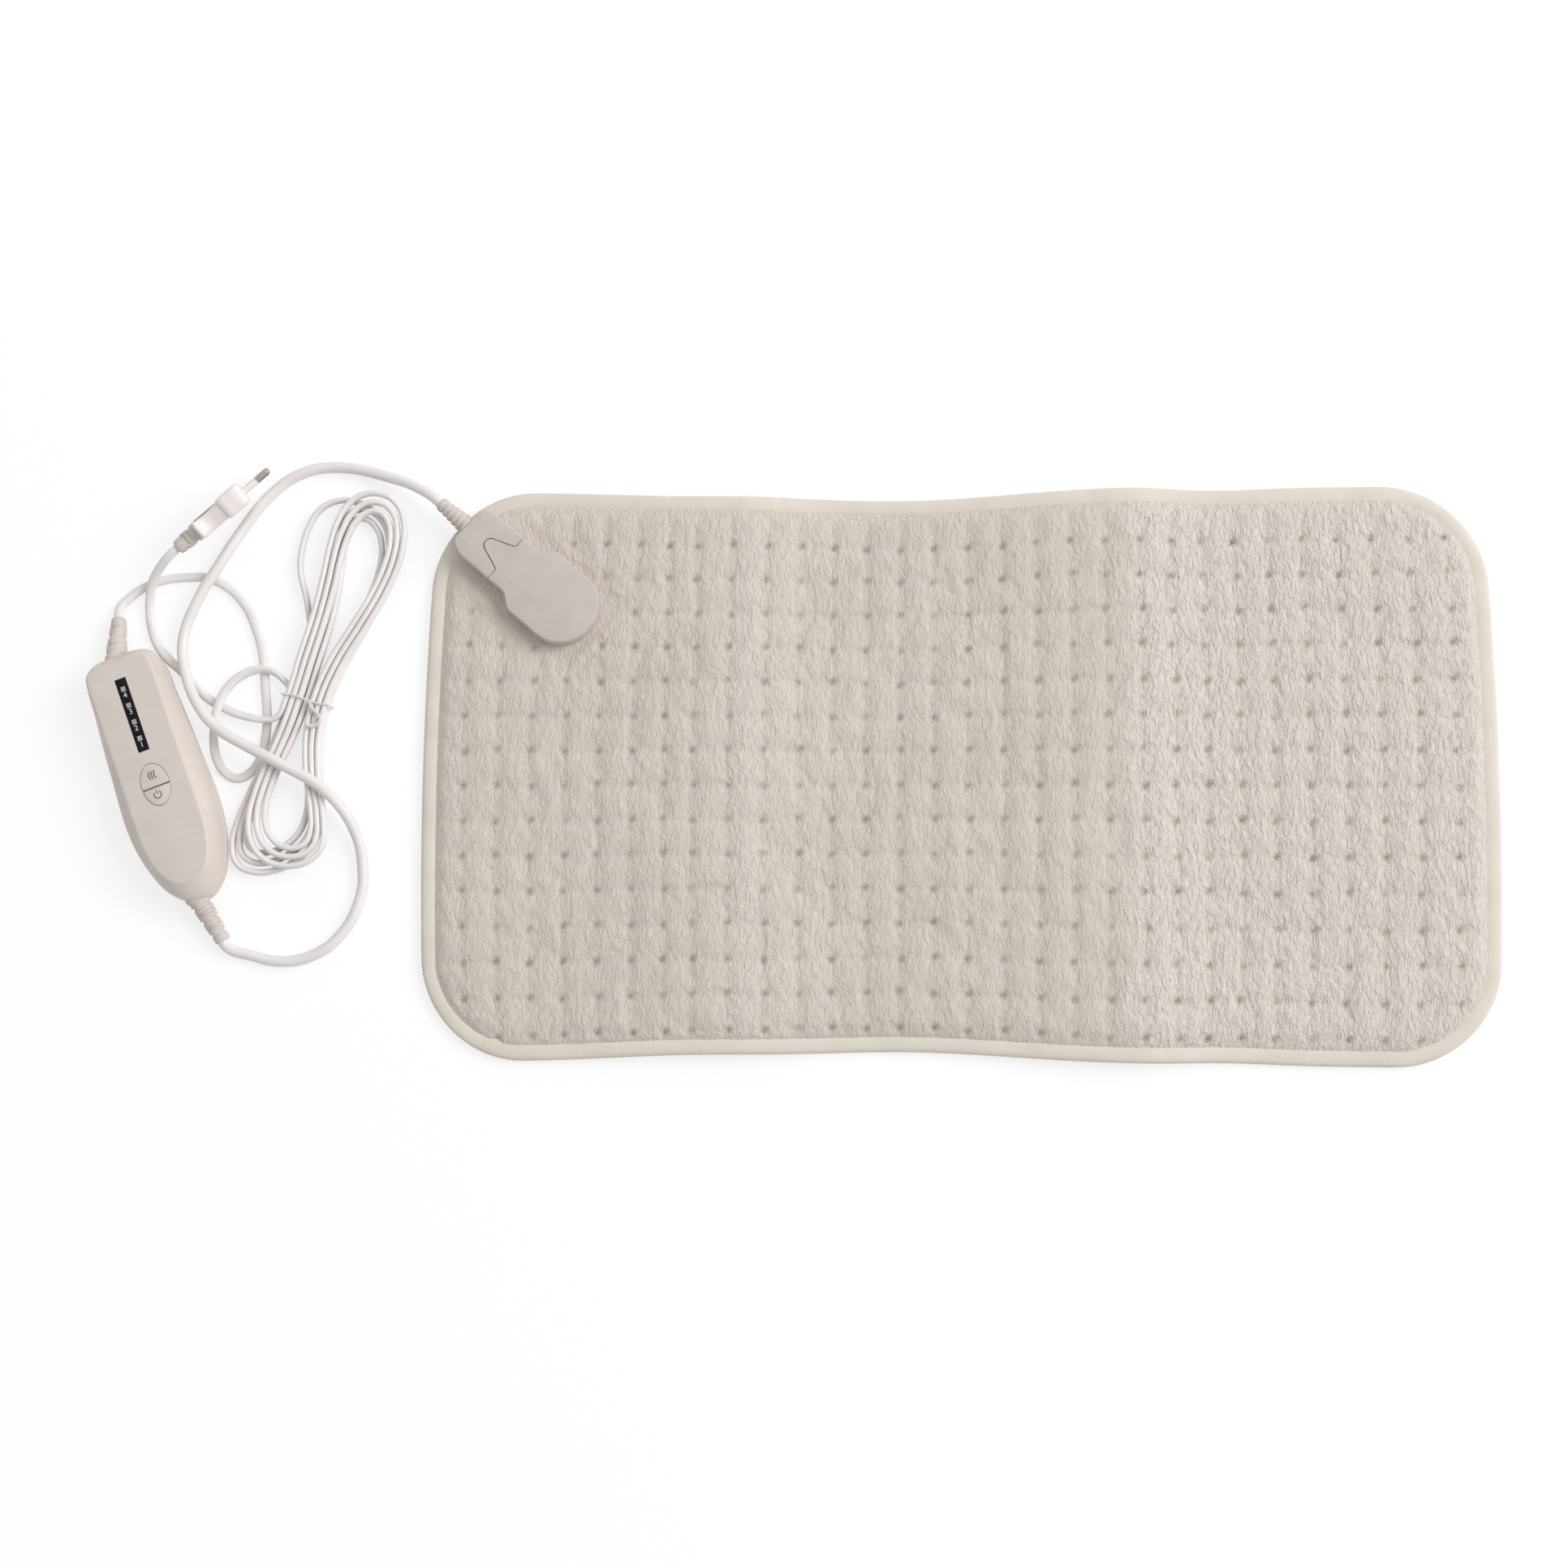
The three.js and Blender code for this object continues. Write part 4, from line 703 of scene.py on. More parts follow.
def puff(obj, held):
    """Runs the cloth and returns the settled places."""
    group = obj.vertex_groups.new(name="held")
    group.add(np.flatnonzero(held).tolist(), 1.0, "REPLACE")
    cloth = obj.modifiers.new("puff", "CLOTH")
    cloth.settings.quality = 4
    cloth.settings.vertex_group_mass = "held"
    cloth.settings.shrink_min = -PUFF_GROWTH
    cloth.settings.use_pressure = True
    cloth.settings.uniform_pressure_force = PUFF_PRESSURE
    cloth.settings.bending_stiffness = 0.3
    cloth.settings.effector_weights.gravity = 0
    cloth.collision_settings.use_collision = False
    cloth.point_cache.frame_start = 1
    cloth.point_cache.frame_end = PUFF_FRAMES
    for frame_number in range(1, PUFF_FRAMES + 1):
        scene.frame_set(frame_number)
    settled = obj.evaluated_get(bpy.context.evaluated_depsgraph_get())
    places = mesh_places(settled.data)
    obj.modifiers.remove(cloth)
    obj.vertex_groups.remove(group)
    scene.frame_set(1)
    return places


jitter = tuft_jitter()
front_cover = new_object("front_cover_fleece", cover_mesh)
flat_places = mesh_places(cover_mesh)
puffed = puff(front_cover, pinned_points(flat_places, jitter)) - flat_places
puffed = np.clip(puffed, -PUFF_LIMIT, PUFF_LIMIT)
set_places(cover_mesh, flat_places + puffed)
print("puffed up by", round(float(puffed[:, 2].max()) * 1000, 2), "mm at most")

# %% [markdown]
# One subdivision makes the mesh fine enough for the dimples. Each dimple is a small oval pit, a
# little deeper or shallower than its neighbours, and its share is also kept as an attribute so that
# the material can paint shade into the pit. The pile's clumps are noise in two sizes, stronger on the right
# third.

# %% Front cover detail
DIMPLE_DEPTH = 0.0024
DIMPLE_HALF = (0.0023, 0.0016)
DIMPLE_TURN = math.radians(28)
CLUMPS = [(300.0, 0.0007), (620.0, 0.0004)]
CLUMP_STRETCH = 0.5
CLUMP_FLAT, CLUMP_NAP = 0.5, 0.7
CLUMP_FROM_RIM, CLUMP_FROM_SOCKET = 0.006, 0.004
COVER_DROP = 0.0012
# Share of standing pile and of painted highlight: the fleece is painted brighter just right of each fold,
# where the ridge's slope faces the key lamp, and this fades towards the next fold.
NAP_AND_LIGHT_LEFT = 0.08
NAP_AND_LIGHT_PAST_FOLDS = [
    {"start": 0.50, "end": 0.0, "fade": 0.055},
    {"start": 1.0, "end": 0.72, "fade": 0.050},
]
NAP_AND_LIGHT_EDGE = 0.004
NAP_AND_LIGHT_WOBBLE = (35.0, 0.006)
FLEECE_TONES = (0.655, 0.59, 0.525), (0.71, 0.645, 0.58)
# The brushed tone is partly the pile's own colour and partly a painted highlight for the lit fold slopes.
FLEECE_BRUSHED_AND_LIT, FLEECE_DIMPLE_SHADE = (0.77, 0.72, 0.665, 1), (0.50, 0.45, 0.31, 1)
FLEECE_MARGIN = 0.32
# The dark olive dimple tone, mixed in at this share of the dimple attribute, is painted shade in the pits.
DIMPLE_SHADE = 0.75
FIBRE_SCALE, FIBRE_DEPTH = 520.0, 0.0024
FIBRE_STRETCH = (1.0, 0.4, 1.0)


def refine(obj):
    """One subdivision, applied."""
    finer = obj.modifiers.new("finer", "SUBSURF")
    finer.levels = finer.render_levels = 1
    mesh = baked(obj)
    obj.modifiers.remove(finer)
    mesh.name = obj.data.name
    obj.data = mesh
    return mesh


def nap_share(x, y):
    """How far the pile stands up, and how much painted highlight the fleece gets: little on the left panel,
    most just to the right of each fold, where the slope faces the lamp.
    """
    wobble = np.array([noise.noise((0, place * NAP_AND_LIGHT_WOBBLE[0], 0)) for place in y]) * NAP_AND_LIGHT_WOBBLE[1]
    share = np.full_like(x, NAP_AND_LIGHT_LEFT)
    for fold, nap_and_light in zip(PAD_FOLDS, NAP_AND_LIGHT_PAST_FOLDS):
        past = x + wobble - fold["at"]
        level = nap_and_light["end"] + (nap_and_light["start"] - nap_and_light["end"]) * np.exp(-np.maximum(past, 0) / nap_and_light["fade"])
        share += (level - share) / (1 + np.exp(-past / NAP_AND_LIGHT_EDGE))
    return share


def detail_cover(mesh):
    places = mesh_places(mesh)
    x, y = flattened(places[:, 0], places[:, 1])
    off_x, off_y, present = tuft_offsets(x, y, jitter)
    along = off_x * math.cos(DIMPLE_TURN) + off_y * math.sin(DIMPLE_TURN)
    across = off_y * math.cos(DIMPLE_TURN) - off_x * math.sin(DIMPLE_TURN)
    dimple = present * np.exp(-((along / DIMPLE_HALF[0]) ** 2) - (across / DIMPLE_HALF[1]) ** 2)
    free = np.clip((edge_distance(x, y) - COVER_INSET) / CLUMP_FROM_RIM, 0, 1)
    free *= np.clip(press_distance(places[:, 0], places[:, 1]) / CLUMP_FROM_SOCKET, 0, 1)
    nap_and_light = nap_share(x, y)
    for scale, depth in CLUMPS:
        clump = [noise.noise((px * scale, py * scale * CLUMP_STRETCH, scale)) for px, py in places[:, :2]]
        places[:, 2] += np.array(clump) * depth * (CLUMP_FLAT + CLUMP_NAP * nap_and_light) * free
    places[:, 2] += fold_rise(x) - DIMPLE_DEPTH * dimple
    set_places(mesh, places)
    # Both shares go to the material: the dimple share paints shade into the pits, and the nap share paints
    # highlight to the right of the folds.
    for name, values in (("dimple", dimple), ("nap_and_light", nap_and_light)):
        shade = mesh.attributes.new(name, "FLOAT", "POINT")
        shade.data.foreach_set("value", np.clip(values, 0, 1).astype(np.float32))


def close_below(mesh, drop):
    """Runs the rim straight down and closes the underside, so that the cover is a solid piece."""
    bm = bmesh.new()
    bm.from_mesh(mesh)
    rim = [edge for edge in bm.edges if edge.is_boundary]
    wall = bmesh.ops.extrude_edge_only(bm, edges=rim)["geom"]
    low = [item for item in wall if isinstance(item, bmesh.types.BMVert)]
    bmesh.ops.translate(bm, verts=low, vec=(0, 0, -drop))
    bmesh.ops.holes_fill(bm, edges=[edge for edge in bm.edges if edge.is_boundary])
    bmesh.ops.recalc_face_normals(bm, faces=bm.faces)
    bm.to_mesh(mesh)
    bm.free()


def colour_mix(tree, share, first, second):
    mix = tree.nodes.new("ShaderNodeMix")
    mix.data_type = "RGBA"
    set_inputs(tree, mix, Factor=share, A=first, B=second)
    return mix.outputs["Result"]


def attribute(tree, name):
    node = add_node(tree, "Attribute")
    node.attribute_name = name
    return node.outputs["Fac"]


def fleece_material():
    material, tree, shader = material_nodes("cream_fleece")
    place = add_node(tree, "TexCoord").outputs["Object"]
    patches = add_node(tree, "TexNoise", Vector=place, Scale=16.0, Detail=6.0, Roughness=0.7)
    tones = tone_ramp(tree, patches.outputs["Fac"], *FLEECE_TONES, FLEECE_MARGIN)
    nap_and_light = attribute(tree, "nap_and_light")
    # Painted highlight: where the share is high, to the right of each fold, the colour is mixed towards the
    # brighter brushed tone.
    brushed_and_lit = colour_mix(tree, nap_and_light, tones, FLEECE_BRUSHED_AND_LIT)
    # Painted shade: inside each pit the fleece is mixed towards the dark dimple tone.
    shade = math_node(tree, "MULTIPLY", attribute(tree, "dimple"), DIMPLE_SHADE)
    colour = colour_mix(tree, shade, brushed_and_lit, FLEECE_DIMPLE_SHADE)
    stretched = add_node(tree, "Mapping", Vector=place, Scale=FIBRE_STRETCH).outputs["Vector"]
    fibres = add_node(tree, "TexNoise", Vector=stretched, Scale=FIBRE_SCALE, Detail=4.0, Distortion=0.8)
    strength = add_node(tree, "MapRange", Value=nap_and_light, To_Min=0.6, To_Max=1.0).outputs[0]
    bump = add_node(tree, "Bump", Strength=strength, Distance=FIBRE_DEPTH, Height=fibres.outputs["Fac"])
    set_inputs(tree, shader, Base_Color=colour, Normal=bump.outputs["Normal"], Roughness=0.95)
    set_inputs(tree, shader, Sheen_Weight=0.25, Sheen_Roughness=0.5)
    return material


LOOKS["fleece"] = fleece_material()
cover_mesh = refine(front_cover)
detail_cover(cover_mesh)
close_below(cover_mesh, COVER_DROP)
cover_mesh.materials.append(LOOKS["fleece"])
cover_mesh.shade_smooth()
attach(front_cover, "pad")
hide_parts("front_cover")
print("front cover:", len(cover_mesh.polygons), "faces")

# %% [markdown]
# The edge tape is a soft rib-knit band folded over the pad's edge and sewn down along its inner
# side. Its flattened oval section is a profile curve carried around the pad's edge, as for the
# mains cord. Every second point of the line has a slightly smaller radius, which makes the ribs and
# the finely toothed outer edge.

# %% Edge tape
TAPE_WIDTH = 0.0112
TAPE_HALF_HEIGHT = 0.0031
TAPE_RIB_STEP = 0.0009
TAPE_RIB_DEPTH = 0.08
TAPE_SIDES = 16
TAPE_POWER = 0.75
STITCH_STEP = 0.0047
STITCH_LENGTH = 0.0036
STITCH_RADIUS = 0.00042
STITCH_INSET, STITCH_LEVEL = 0.0098, 0.0052


def edge_line(inset, step):
    """Evenly spaced places and outward directions around the pad's edge, on the flat pattern."""
    straight = (PAD_LENGTH / 2 - PAD_CORNER, PAD_WIDTH / 2 - PAD_CORNER)
    corner = PAD_CORNER - inset
    places = []
    signs = [(1, 1), (-1, 1), (-1, -1), (1, -1)]
    for number, (sign_x, sign_y) in enumerate(signs):
        arc_steps = round(corner * math.pi / 2 / step)
        for i in range(arc_steps):
            angle = (number + i / arc_steps) * math.pi / 2
            out = Vector((math.cos(angle), math.sin(angle), 0))
            places.append((Vector((sign_x * straight[0], sign_y * straight[1], 0)) + out * corner, out))
        out = Vector((math.cos((number + 1) * math.pi / 2), math.sin((number + 1) * math.pi / 2), 0))
        start = Vector((sign_x * straight[0], sign_y * straight[1], 0)) + out * corner
        length = 2 * straight[number % 2]
        way = Vector((-out.y, out.x, 0))
        run_steps = round(length / step)
        places += [(start + way * (length * i / run_steps), out) for i in range(run_steps)]
    return places


def to_sewn(mesh):
    """Moves a mesh from the flat pattern to the sewn pad and over its folds."""
    places = mesh_places(mesh)
    places[:, 2] += fold_rise(places[:, 0])
    places[:, 0], places[:, 1] = drawn(places[:, 0], places[:, 1])
    set_places(mesh, places)


def new_piece(name, bm, look, slot, body, *nodes):
    """Finishes a bmesh as a named object of the given look, riding a body and standing for CAD nodes."""
    bmesh.ops.recalc_face_normals(bm, faces=bm.faces)
    obj = new_object(name, mesh_of(bm, name))
    obj.data.materials.append(LOOKS[look])
    obj.data.shade_smooth()
    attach(obj, body)
    if nodes:
        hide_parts(*nodes)
    return obj


def fuller(value, size):
    """Moves a sine or cosine out, so that a section is fuller than an ellipse."""
    return math.copysign(abs(value) ** TAPE_POWER, value) * size


def band_profile():
    """Flattened oval, as a closed curve."""
    turns = [2 * math.pi * i / TAPE_SIDES for i in range(TAPE_SIDES)]
    half = TAPE_WIDTH / 2, TAPE_HALF_HEIGHT
    corners = [(fuller(math.cos(turn), half[0]), fuller(math.sin(turn), half[1]), 0) for turn in turns]
    return profile_curve(corners, 1)


def add_tape():
    line = bpy.data.curves.new("edge_tape", "CURVE")
    line.dimensions = "3D"
    line.twist_mode = "Z_UP"
    steps = edge_line(TAPE_WIDTH / 2, TAPE_RIB_STEP)
    spline = line.splines.new("POLY")
    spline.points.add(len(steps) - 1)
    for number, (place, _) in enumerate(steps):
        spline.points[number].co = (place.x, place.y, TAPE_HALF_HEIGHT, 1)
        spline.points[number].radius = 1 - TAPE_RIB_DEPTH * (number % 2)
    spline.use_cyclic_u = True
    mesh = swept_mesh("edge_tape", line, band_profile())
    bm = bmesh.new()
    bm.from_mesh(mesh)
    bmesh.ops.remove_doubles(bm, verts=bm.verts, dist=1e-7)
    tape = new_piece("edge_tape", bm, "tape", "tape", "pad", "edge_binding")
    to_sewn(tape.data)
    return tape


def add_stitches():
    bm = bmesh.new()
    for place, out in edge_line(STITCH_INSET, STITCH_STEP):
        made = bmesh.ops.create_uvsphere(bm, u_segments=6, v_segments=4, radius=STITCH_RADIUS)["verts"]
        way = Vector((-out.y, out.x, 0))
        for vert in made:
            along = vert.co.x * STITCH_LENGTH / STITCH_RADIUS / 2
            vert.co = place + way * along + out * vert.co.y + Vector((0, 0, vert.co.z + STITCH_LEVEL))
    stitches = new_piece("tape_stitches", bm, "thread", "tape", "pad")
    to_sewn(stitches.data)
    return stitches


LOOKS["tape"] = plastic("rib_knit_tape", (0.75, 0.69, 0.60), (0.81, 0.75, 0.66), 0.9, 1600.0, 0.0003)
LOOKS["thread"] = plastic("sewing_thread", (0.76, 0.70, 0.61), (0.82, 0.77, 0.68), 0.8, 2500.0, 0.0001)
tape = add_tape()
stitches = add_stitches()
print("tape:", len(tape.data.polygons), "faces; stitches:", len(stitches.data.polygons), "faces")

# %% [markdown]
# Below the fleece lie the felt that carries the heating wire, its thermostat and the rear cover. The
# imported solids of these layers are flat, so copies of them are cut into strips with bisect planes
# and laid over the same two ridges as the rest of the pad. They stay hidden under the fleece.

# %% Rear cover and the layers inside
LAYER_STRIPS = 60
LOOKS["felt"] = plastic("grey_felt", (0.56, 0.53, 0.48), (0.64, 0.60, 0.55), 0.95, 1200.0, 0.0003)
LOOKS["wire"] = plastic("wire_sleeve", (0.44, 0.34, 0.24), (0.50, 0.40, 0.29), 0.6)
LOOKS["component"] = plastic("dark_component", (0.018, 0.018, 0.021), (0.03, 0.03, 0.033), 0.5)


def folded_layer(name, node, look):
    bm = bmesh.new()
    bm.from_mesh(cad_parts[node].data)
    bmesh.ops.remove_doubles(bm, verts=bm.verts, dist=1e-6)
    for i in range(1, LAYER_STRIPS):
        x = PAD_LENGTH * (i / LAYER_STRIPS - 0.5)
        parts = bm.verts[:] + bm.edges[:] + bm.faces[:]
        bmesh.ops.bisect_plane(bm, geom=parts, plane_co=(x, 0, 0), plane_no=(1, 0, 0))
    layer = new_piece(name, bm, look, look, "pad", node)
    places = mesh_places(layer.data)
    places[:, 2] += fold_rise(places[:, 0])
    set_places(layer.data, places)
    layer.data.shade_flat()
    return layer


rear_cover = folded_layer("rear_cover_fleece", "rear_cover", "fleece")
folded_layer("folded_carrier", "element_carrier", "felt")
folded_layer("folded_wire", "heating_wire", "wire")
folded_layer("folded_thermostat", "overheat_thermostat", "component")
print("rear cover:", len(rear_cover.data.polygons), "faces")

# %% [markdown]
# Rigid shells are lofted: a few rings of points, each an even walk around a smooth outline, are
# stacked and joined with bridge_loops. Holes are cut afterwards with a Boolean modifier. Each shell
# is made in its own frame, with Y along the piece, and then moved to its place on the floor.

# %% Tools for the shells
def smooth_outline(points, count):
    """Evenly spaced places around a smooth closed line through the points."""
    line = line_points(smooth_line([(x, y, 0) for x, y in points], True))
    line.append(line[0])
    steps = [(b - a).length for a, b in zip(line, line[1:])]
    spacing = sum(steps) / count
    places = []
    walked, number = 0.0, 0
    for i in range(count):
        while walked + steps[number] < i * spacing:
            walked += steps[number]
            number += 1
        share = (i * spacing - walked) / steps[number]
        places.append(line[number].lerp(line[number + 1], share))
    return places


def mirrored(half):
    """Whole outline from its right half, listed from the top middle to the bottom middle."""
    left = [(-x, y) for x, y in reversed(half) if x > 1e-6]
    return half + left


def grown(outline, by, level):
    """Ring at a level, moved out from the outline, or in where by is negative."""
    ring = []
    for number, place in enumerate(outline):
        way = (outline[(number + 1) % len(outline)] - outline[number - 1]).normalized()
        ring.append(place + Vector((-way.y, way.x, 0)) * by + Vector((0, 0, level)))
    return ring


def loft(bm, rings):
    """Closed body through rings with the same number of points."""
    loops = []
    for places in rings:
        made = bmesh.ops.create_circle(bm, cap_ends=False, radius=1, segments=len(places))["verts"]
        for vert, place in zip(made, places):
            vert.co = place
        loops.append(list(dict.fromkeys(edge for vert in made for edge in vert.link_edges)))
    for low, high in zip(loops, loops[1:]):
        bmesh.ops.bridge_loops(bm, edges=low + high)
    for cap in (loops[0], loops[-1]):
        bmesh.ops.edgeloop_fill(bm, edges=cap)


def round_edges(bm, edges, by, segments):
    bmesh.ops.bevel(bm, geom=edges, offset=by, segments=segments, profile=0.5, affect="EDGES", material=-1)


def block(bm, size, middle, round_by=0.0):
    made = bmesh.ops.create_cube(bm, size=1)["verts"]
    bmesh.ops.scale(bm, vec=size, verts=made)
    bmesh.ops.translate(bm, vec=middle, verts=made)
    if round_by:
        round_edges(bm, list({edge for vert in made for edge in vert.link_edges}), round_by, 2)


def column(bm, radius, low, high, segments):
    """Adds an upright round bar between two levels."""
    made = bmesh.ops.create_cone(
        bm, cap_ends=True, segments=segments, radius1=radius, radius2=radius, depth=high - low
    )["verts"]
    bmesh.ops.translate(bm, vec=(0, 0, (low + high) / 2), verts=made)
    return made


def add_curve(bm, data, middle=(0, 0, 0)):
    """Adds the mesh of a curve at a place."""
    mesh = curve_mesh(data)
    mesh.transform(Matrix.Translation(middle))
    bm.from_mesh(mesh)
    bpy.data.meshes.remove(mesh)


def add_tube(bm, points, radius, roundness, closed=False):
    """Adds a thin round tube along a smooth line."""
    line = smooth_line(points, closed)
    line.bevel_depth = radius
    line.bevel_resolution = roundness
    line.resolution_u = 4
    line.use_fill_caps = True
    add_curve(bm, line)


def cut_away(obj, cutter_bm):
    """Takes the cutter's solid out of an object's mesh."""
    bmesh.ops.recalc_face_normals(cutter_bm, faces=cutter_bm.faces)
    cutter = new_object("cutter", mesh_of(cutter_bm, "cutter"))
    cut = obj.modifiers.new("cut", "BOOLEAN")
    cut.operation = "DIFFERENCE"
    cut.solver = "EXACT"
    cut.object = cutter
    result = baked(obj)
    obj.modifiers.remove(cut)
    result.name = obj.data.name
    obj.data = result
    bpy.data.objects.remove(cutter)


def put(obj, place, crease=35.0):
    """Moves a finished mesh to its place and keeps its creases sharp."""
    obj.data.transform(place)
    obj.data.shade_smooth()
    obj.data.set_sharp_from_angle(angle=math.radians(crease))
    return obj


print("shell tools: outlines, lofts, blocks, columns, tubes and cuts")

# %% [markdown]
# The controller is a hand-sized case with a square end and a rounded nose. A flat plateau with
# straight sides runs down its front, and the flanks slope away from it to the parting line. The top
# shell's rings change from the outline of the case to the outline of the plateau on the way up.

# %% Controller shells
CASE_AT, CASE_TURN = (-0.4559, -0.0034, 0), math.radians(21.2)
CASE_PLACE = Matrix.Translation(CASE_AT) @ Matrix.Rotation(CASE_TURN, 4, "Z")
CASE_RIGHT = [
    (0.0, 0.0748), (0.012, 0.0744), (0.0185, 0.0718), (0.0221, 0.064), (0.0236, 0.045), (0.025, 0.025),
    (0.026, 0.005), (0.0269, -0.012), (0.0270, -0.026), (0.0255, -0.040), (0.0222, -0.053),
    (0.0165, -0.066), (0.0095, -0.0735), (0.0045, -0.0762), (0.0, -0.0768),
]
FACE_RIGHT = [
    (0.0, 0.0688), (0.013, 0.0684), (0.0176, 0.0662), (0.0188, 0.061), (0.0190, 0.045), (0.0190, 0.02),
    (0.0190, -0.005), (0.0190, -0.026), (0.0180, -0.043), (0.0140, -0.057), (0.0072, -0.0648), (0.0, -0.067),
]
CASE_POINTS = 128
CASE_PARTING = 0.010
FACE_LEVEL = 0.026
BUTTON_MIDDLE = (-0.0002, -0.0072)
BUTTON_HALF = (0.0081, 0.0125)
BUTTON_SIDES = 72
BUTTON_GAP = 0.0003
BUTTON_WELL = (0.0215, 0.030)
WINDOW_SIZE = (0.0065, 0.0448)
WINDOW_MIDDLE = (-0.0002, 0.0358)
WINDOW_GAP = 0.0001
WINDOW_WELL = (0.0250, 0.0290)
SCREW_PLACES = [(-0.017, 0.054), (0.017, 0.054), (-0.017, -0.034), (0.017, -0.034)]
SCREW_HOLE = {"radius": 0.0028, "low": -0.0008, "high": 0.0032, "segments": 32}
FLANK_SHARE = 0.55
TOP_RINGS = [
    ("case", -0.0006, CASE_PARTING + 0.0003), ("case", 0.0, CASE_PARTING + 0.0008),
    ("case", -0.0002, 0.0145), ("case", -0.0009, 0.0182), ("case", -0.0022, 0.0210),
    ("flank", -0.0006, 0.0232), ("face", 0.0011, 0.0248), ("face", 0.0003, 0.0256),
    ("face", -0.0003, 0.0259), ("face", -0.0012, FACE_LEVEL),
]
BOTTOM_RINGS = [
    ("case", -0.0050, 0.0), ("case", -0.0036, 0.0004), ("case", -0.0014, 0.0018), ("case", -0.0002, 0.0042),
    ("case", 0.0, CASE_PARTING - 0.0006), ("case", -0.0006, CASE_PARTING),
]
CASE_CREASE = 40
case_outline = smooth_outline(mirrored(CASE_RIGHT), CASE_POINTS)
face_outline = smooth_outline(mirrored(FACE_RIGHT), CASE_POINTS)
case_outlines = {
    "case": case_outline,
    "flank": [outer.lerp(inner, FLANK_SHARE) for outer, inner in zip(case_outline, face_outline)],
    "face": face_outline,
}


def oval_column(bm, grow, low, high):
    """Adds the oval of the buttons, a little wider where it grows."""
    made = column(bm, 1, low, high, BUTTON_SIDES)
    bmesh.ops.scale(bm, vec=(BUTTON_HALF[0] + grow, BUTTON_HALF[1] + grow, 1), verts=made)
    bmesh.ops.translate(bm, vec=(*BUTTON_MIDDLE, 0), verts=made)


def case_shell(name, node, rings):
    bm = bmesh.new()
    loft(bm, [grown(case_outlines[outline], by, level) for outline, by, level in rings])
    return new_piece(name, bm, "shell", "shell", "cord_set", node)


def add_top_shell():
    shell = case_shell("controller_top", "controller_top_shell", TOP_RINGS)
    cutter = bmesh.new()
    oval_column(cutter, BUTTON_GAP, *BUTTON_WELL)
    cut_away(shell, cutter)
    cutter = bmesh.new()
    low, high = WINDOW_WELL
    wide, long = WINDOW_SIZE
    size = (wide + 2 * WINDOW_GAP, long + 2 * WINDOW_GAP, high - low)
    block(cutter, size, (*WINDOW_MIDDLE, (low + high) / 2))
    cut_away(shell, cutter)
    return put(shell, CASE_PLACE, CASE_CREASE)


def add_bottom_shell():
    shell = case_shell("controller_bottom", "controller_bottom_shell", BOTTOM_RINGS)
    cutter = bmesh.new()
    for x, y in SCREW_PLACES:
        bmesh.ops.translate(cutter, vec=(x, y, 0), verts=column(cutter, **SCREW_HOLE))
    cut_away(shell, cutter)
    return put(shell, CASE_PLACE, CASE_CREASE)


top_shell = add_top_shell()
bottom_shell = add_bottom_shell()
print("controller shells:", len(top_shell.data.polygons) + len(bottom_shell.data.polygons), "faces")

# %% [markdown]
# The display is a strip of smooth black plastic with four groups, each a striped bar over a digit.
# The two buttons are the halves of one oval, cut apart with a bisect plane and eased along the top
# edge with a bevel. Each carries a thin printed sign and rides its own key, so it can be pressed.

# %% Display, digits and buttons
BUTTON_SPLIT_AT = -0.0014
BUTTON_SPLIT = 0.0008
BUTTON_TOP = 0.0264
BUTTON_LOW = 0.0225
BUTTON_EASE = 0.0004
WINDOW_THICK, WINDOW_ROUND = 0.0010, 0.00012
WINDOW_TONES = (0.002, 0.002, 0.003), (0.004, 0.004, 0.005)
WINDOW_TONE_SCALE = 40.0
HEAT_LEVELS, BAR_STRIPES = 4, 4
GROUP_STEP = 0.0102
BAR_FIRST, DIGIT_FIRST = 0.0518, 0.0479
BAR_SIZE = (0.0026, 0.00042)
BAR_STEP = 0.00075
DIGIT_SIZE = 0.0046
PRINT_THICK = 0.00006
SIGN_RADIUS, SIGN_FLATNESS = 0.00034, 0.3
HEAT_SIGN_AT = (-0.0006, -0.0016)
HEAT_WAVE = {"apart": 0.0016, "swing": 0.00045, "turn": 1.5, "top": 0.0024, "step": 0.0008, "points": 7}
POWER_SIGN_AT = (-0.0007, -0.0134)
POWER_RING = 0.0021
POWER_ARC = {"from": 130, "over": 280, "steps": 14}
POWER_BAR = (0.0028, 0.0016, 0.0004)


def black_window():
    material, tree, shader = material_nodes("black_window")
    mixed_tones(tree, shader, *WINDOW_TONES, WINDOW_TONE_SCALE)
    set_inputs(tree, shader, Roughness=0.3, Specular_IOR_Level=0.15)
    return material


LOOKS["window"] = black_window()
LOOKS["print"] = plastic("display_print", (0.60, 0.60, 0.60), (0.68, 0.68, 0.68), 0.5)
LOOKS["sign"] = plastic("button_print", (0.11, 0.10, 0.09), (0.15, 0.14, 0.12), 0.6)


def add_window():
    bm = bmesh.new()
    middle = (*WINDOW_MIDDLE, FACE_LEVEL - WINDOW_THICK / 2)
    block(bm, (*WINDOW_SIZE, WINDOW_THICK), middle, WINDOW_ROUND)
    put(new_piece("display_strip", bm, "window", "window", "cord_set", "display_window"), CASE_PLACE)


def add_digit(bm, digit, middle):
    """Adds a flat printed digit, made a mesh from a text curve."""
    data = bpy.data.curves.new("digit", "FONT")
    data.body = str(digit)
    data.size = DIGIT_SIZE
    data.align_x = "CENTER"
    data.align_y = "CENTER"
    data.extrude = PRINT_THICK / 2
    add_curve(bm, data, middle)


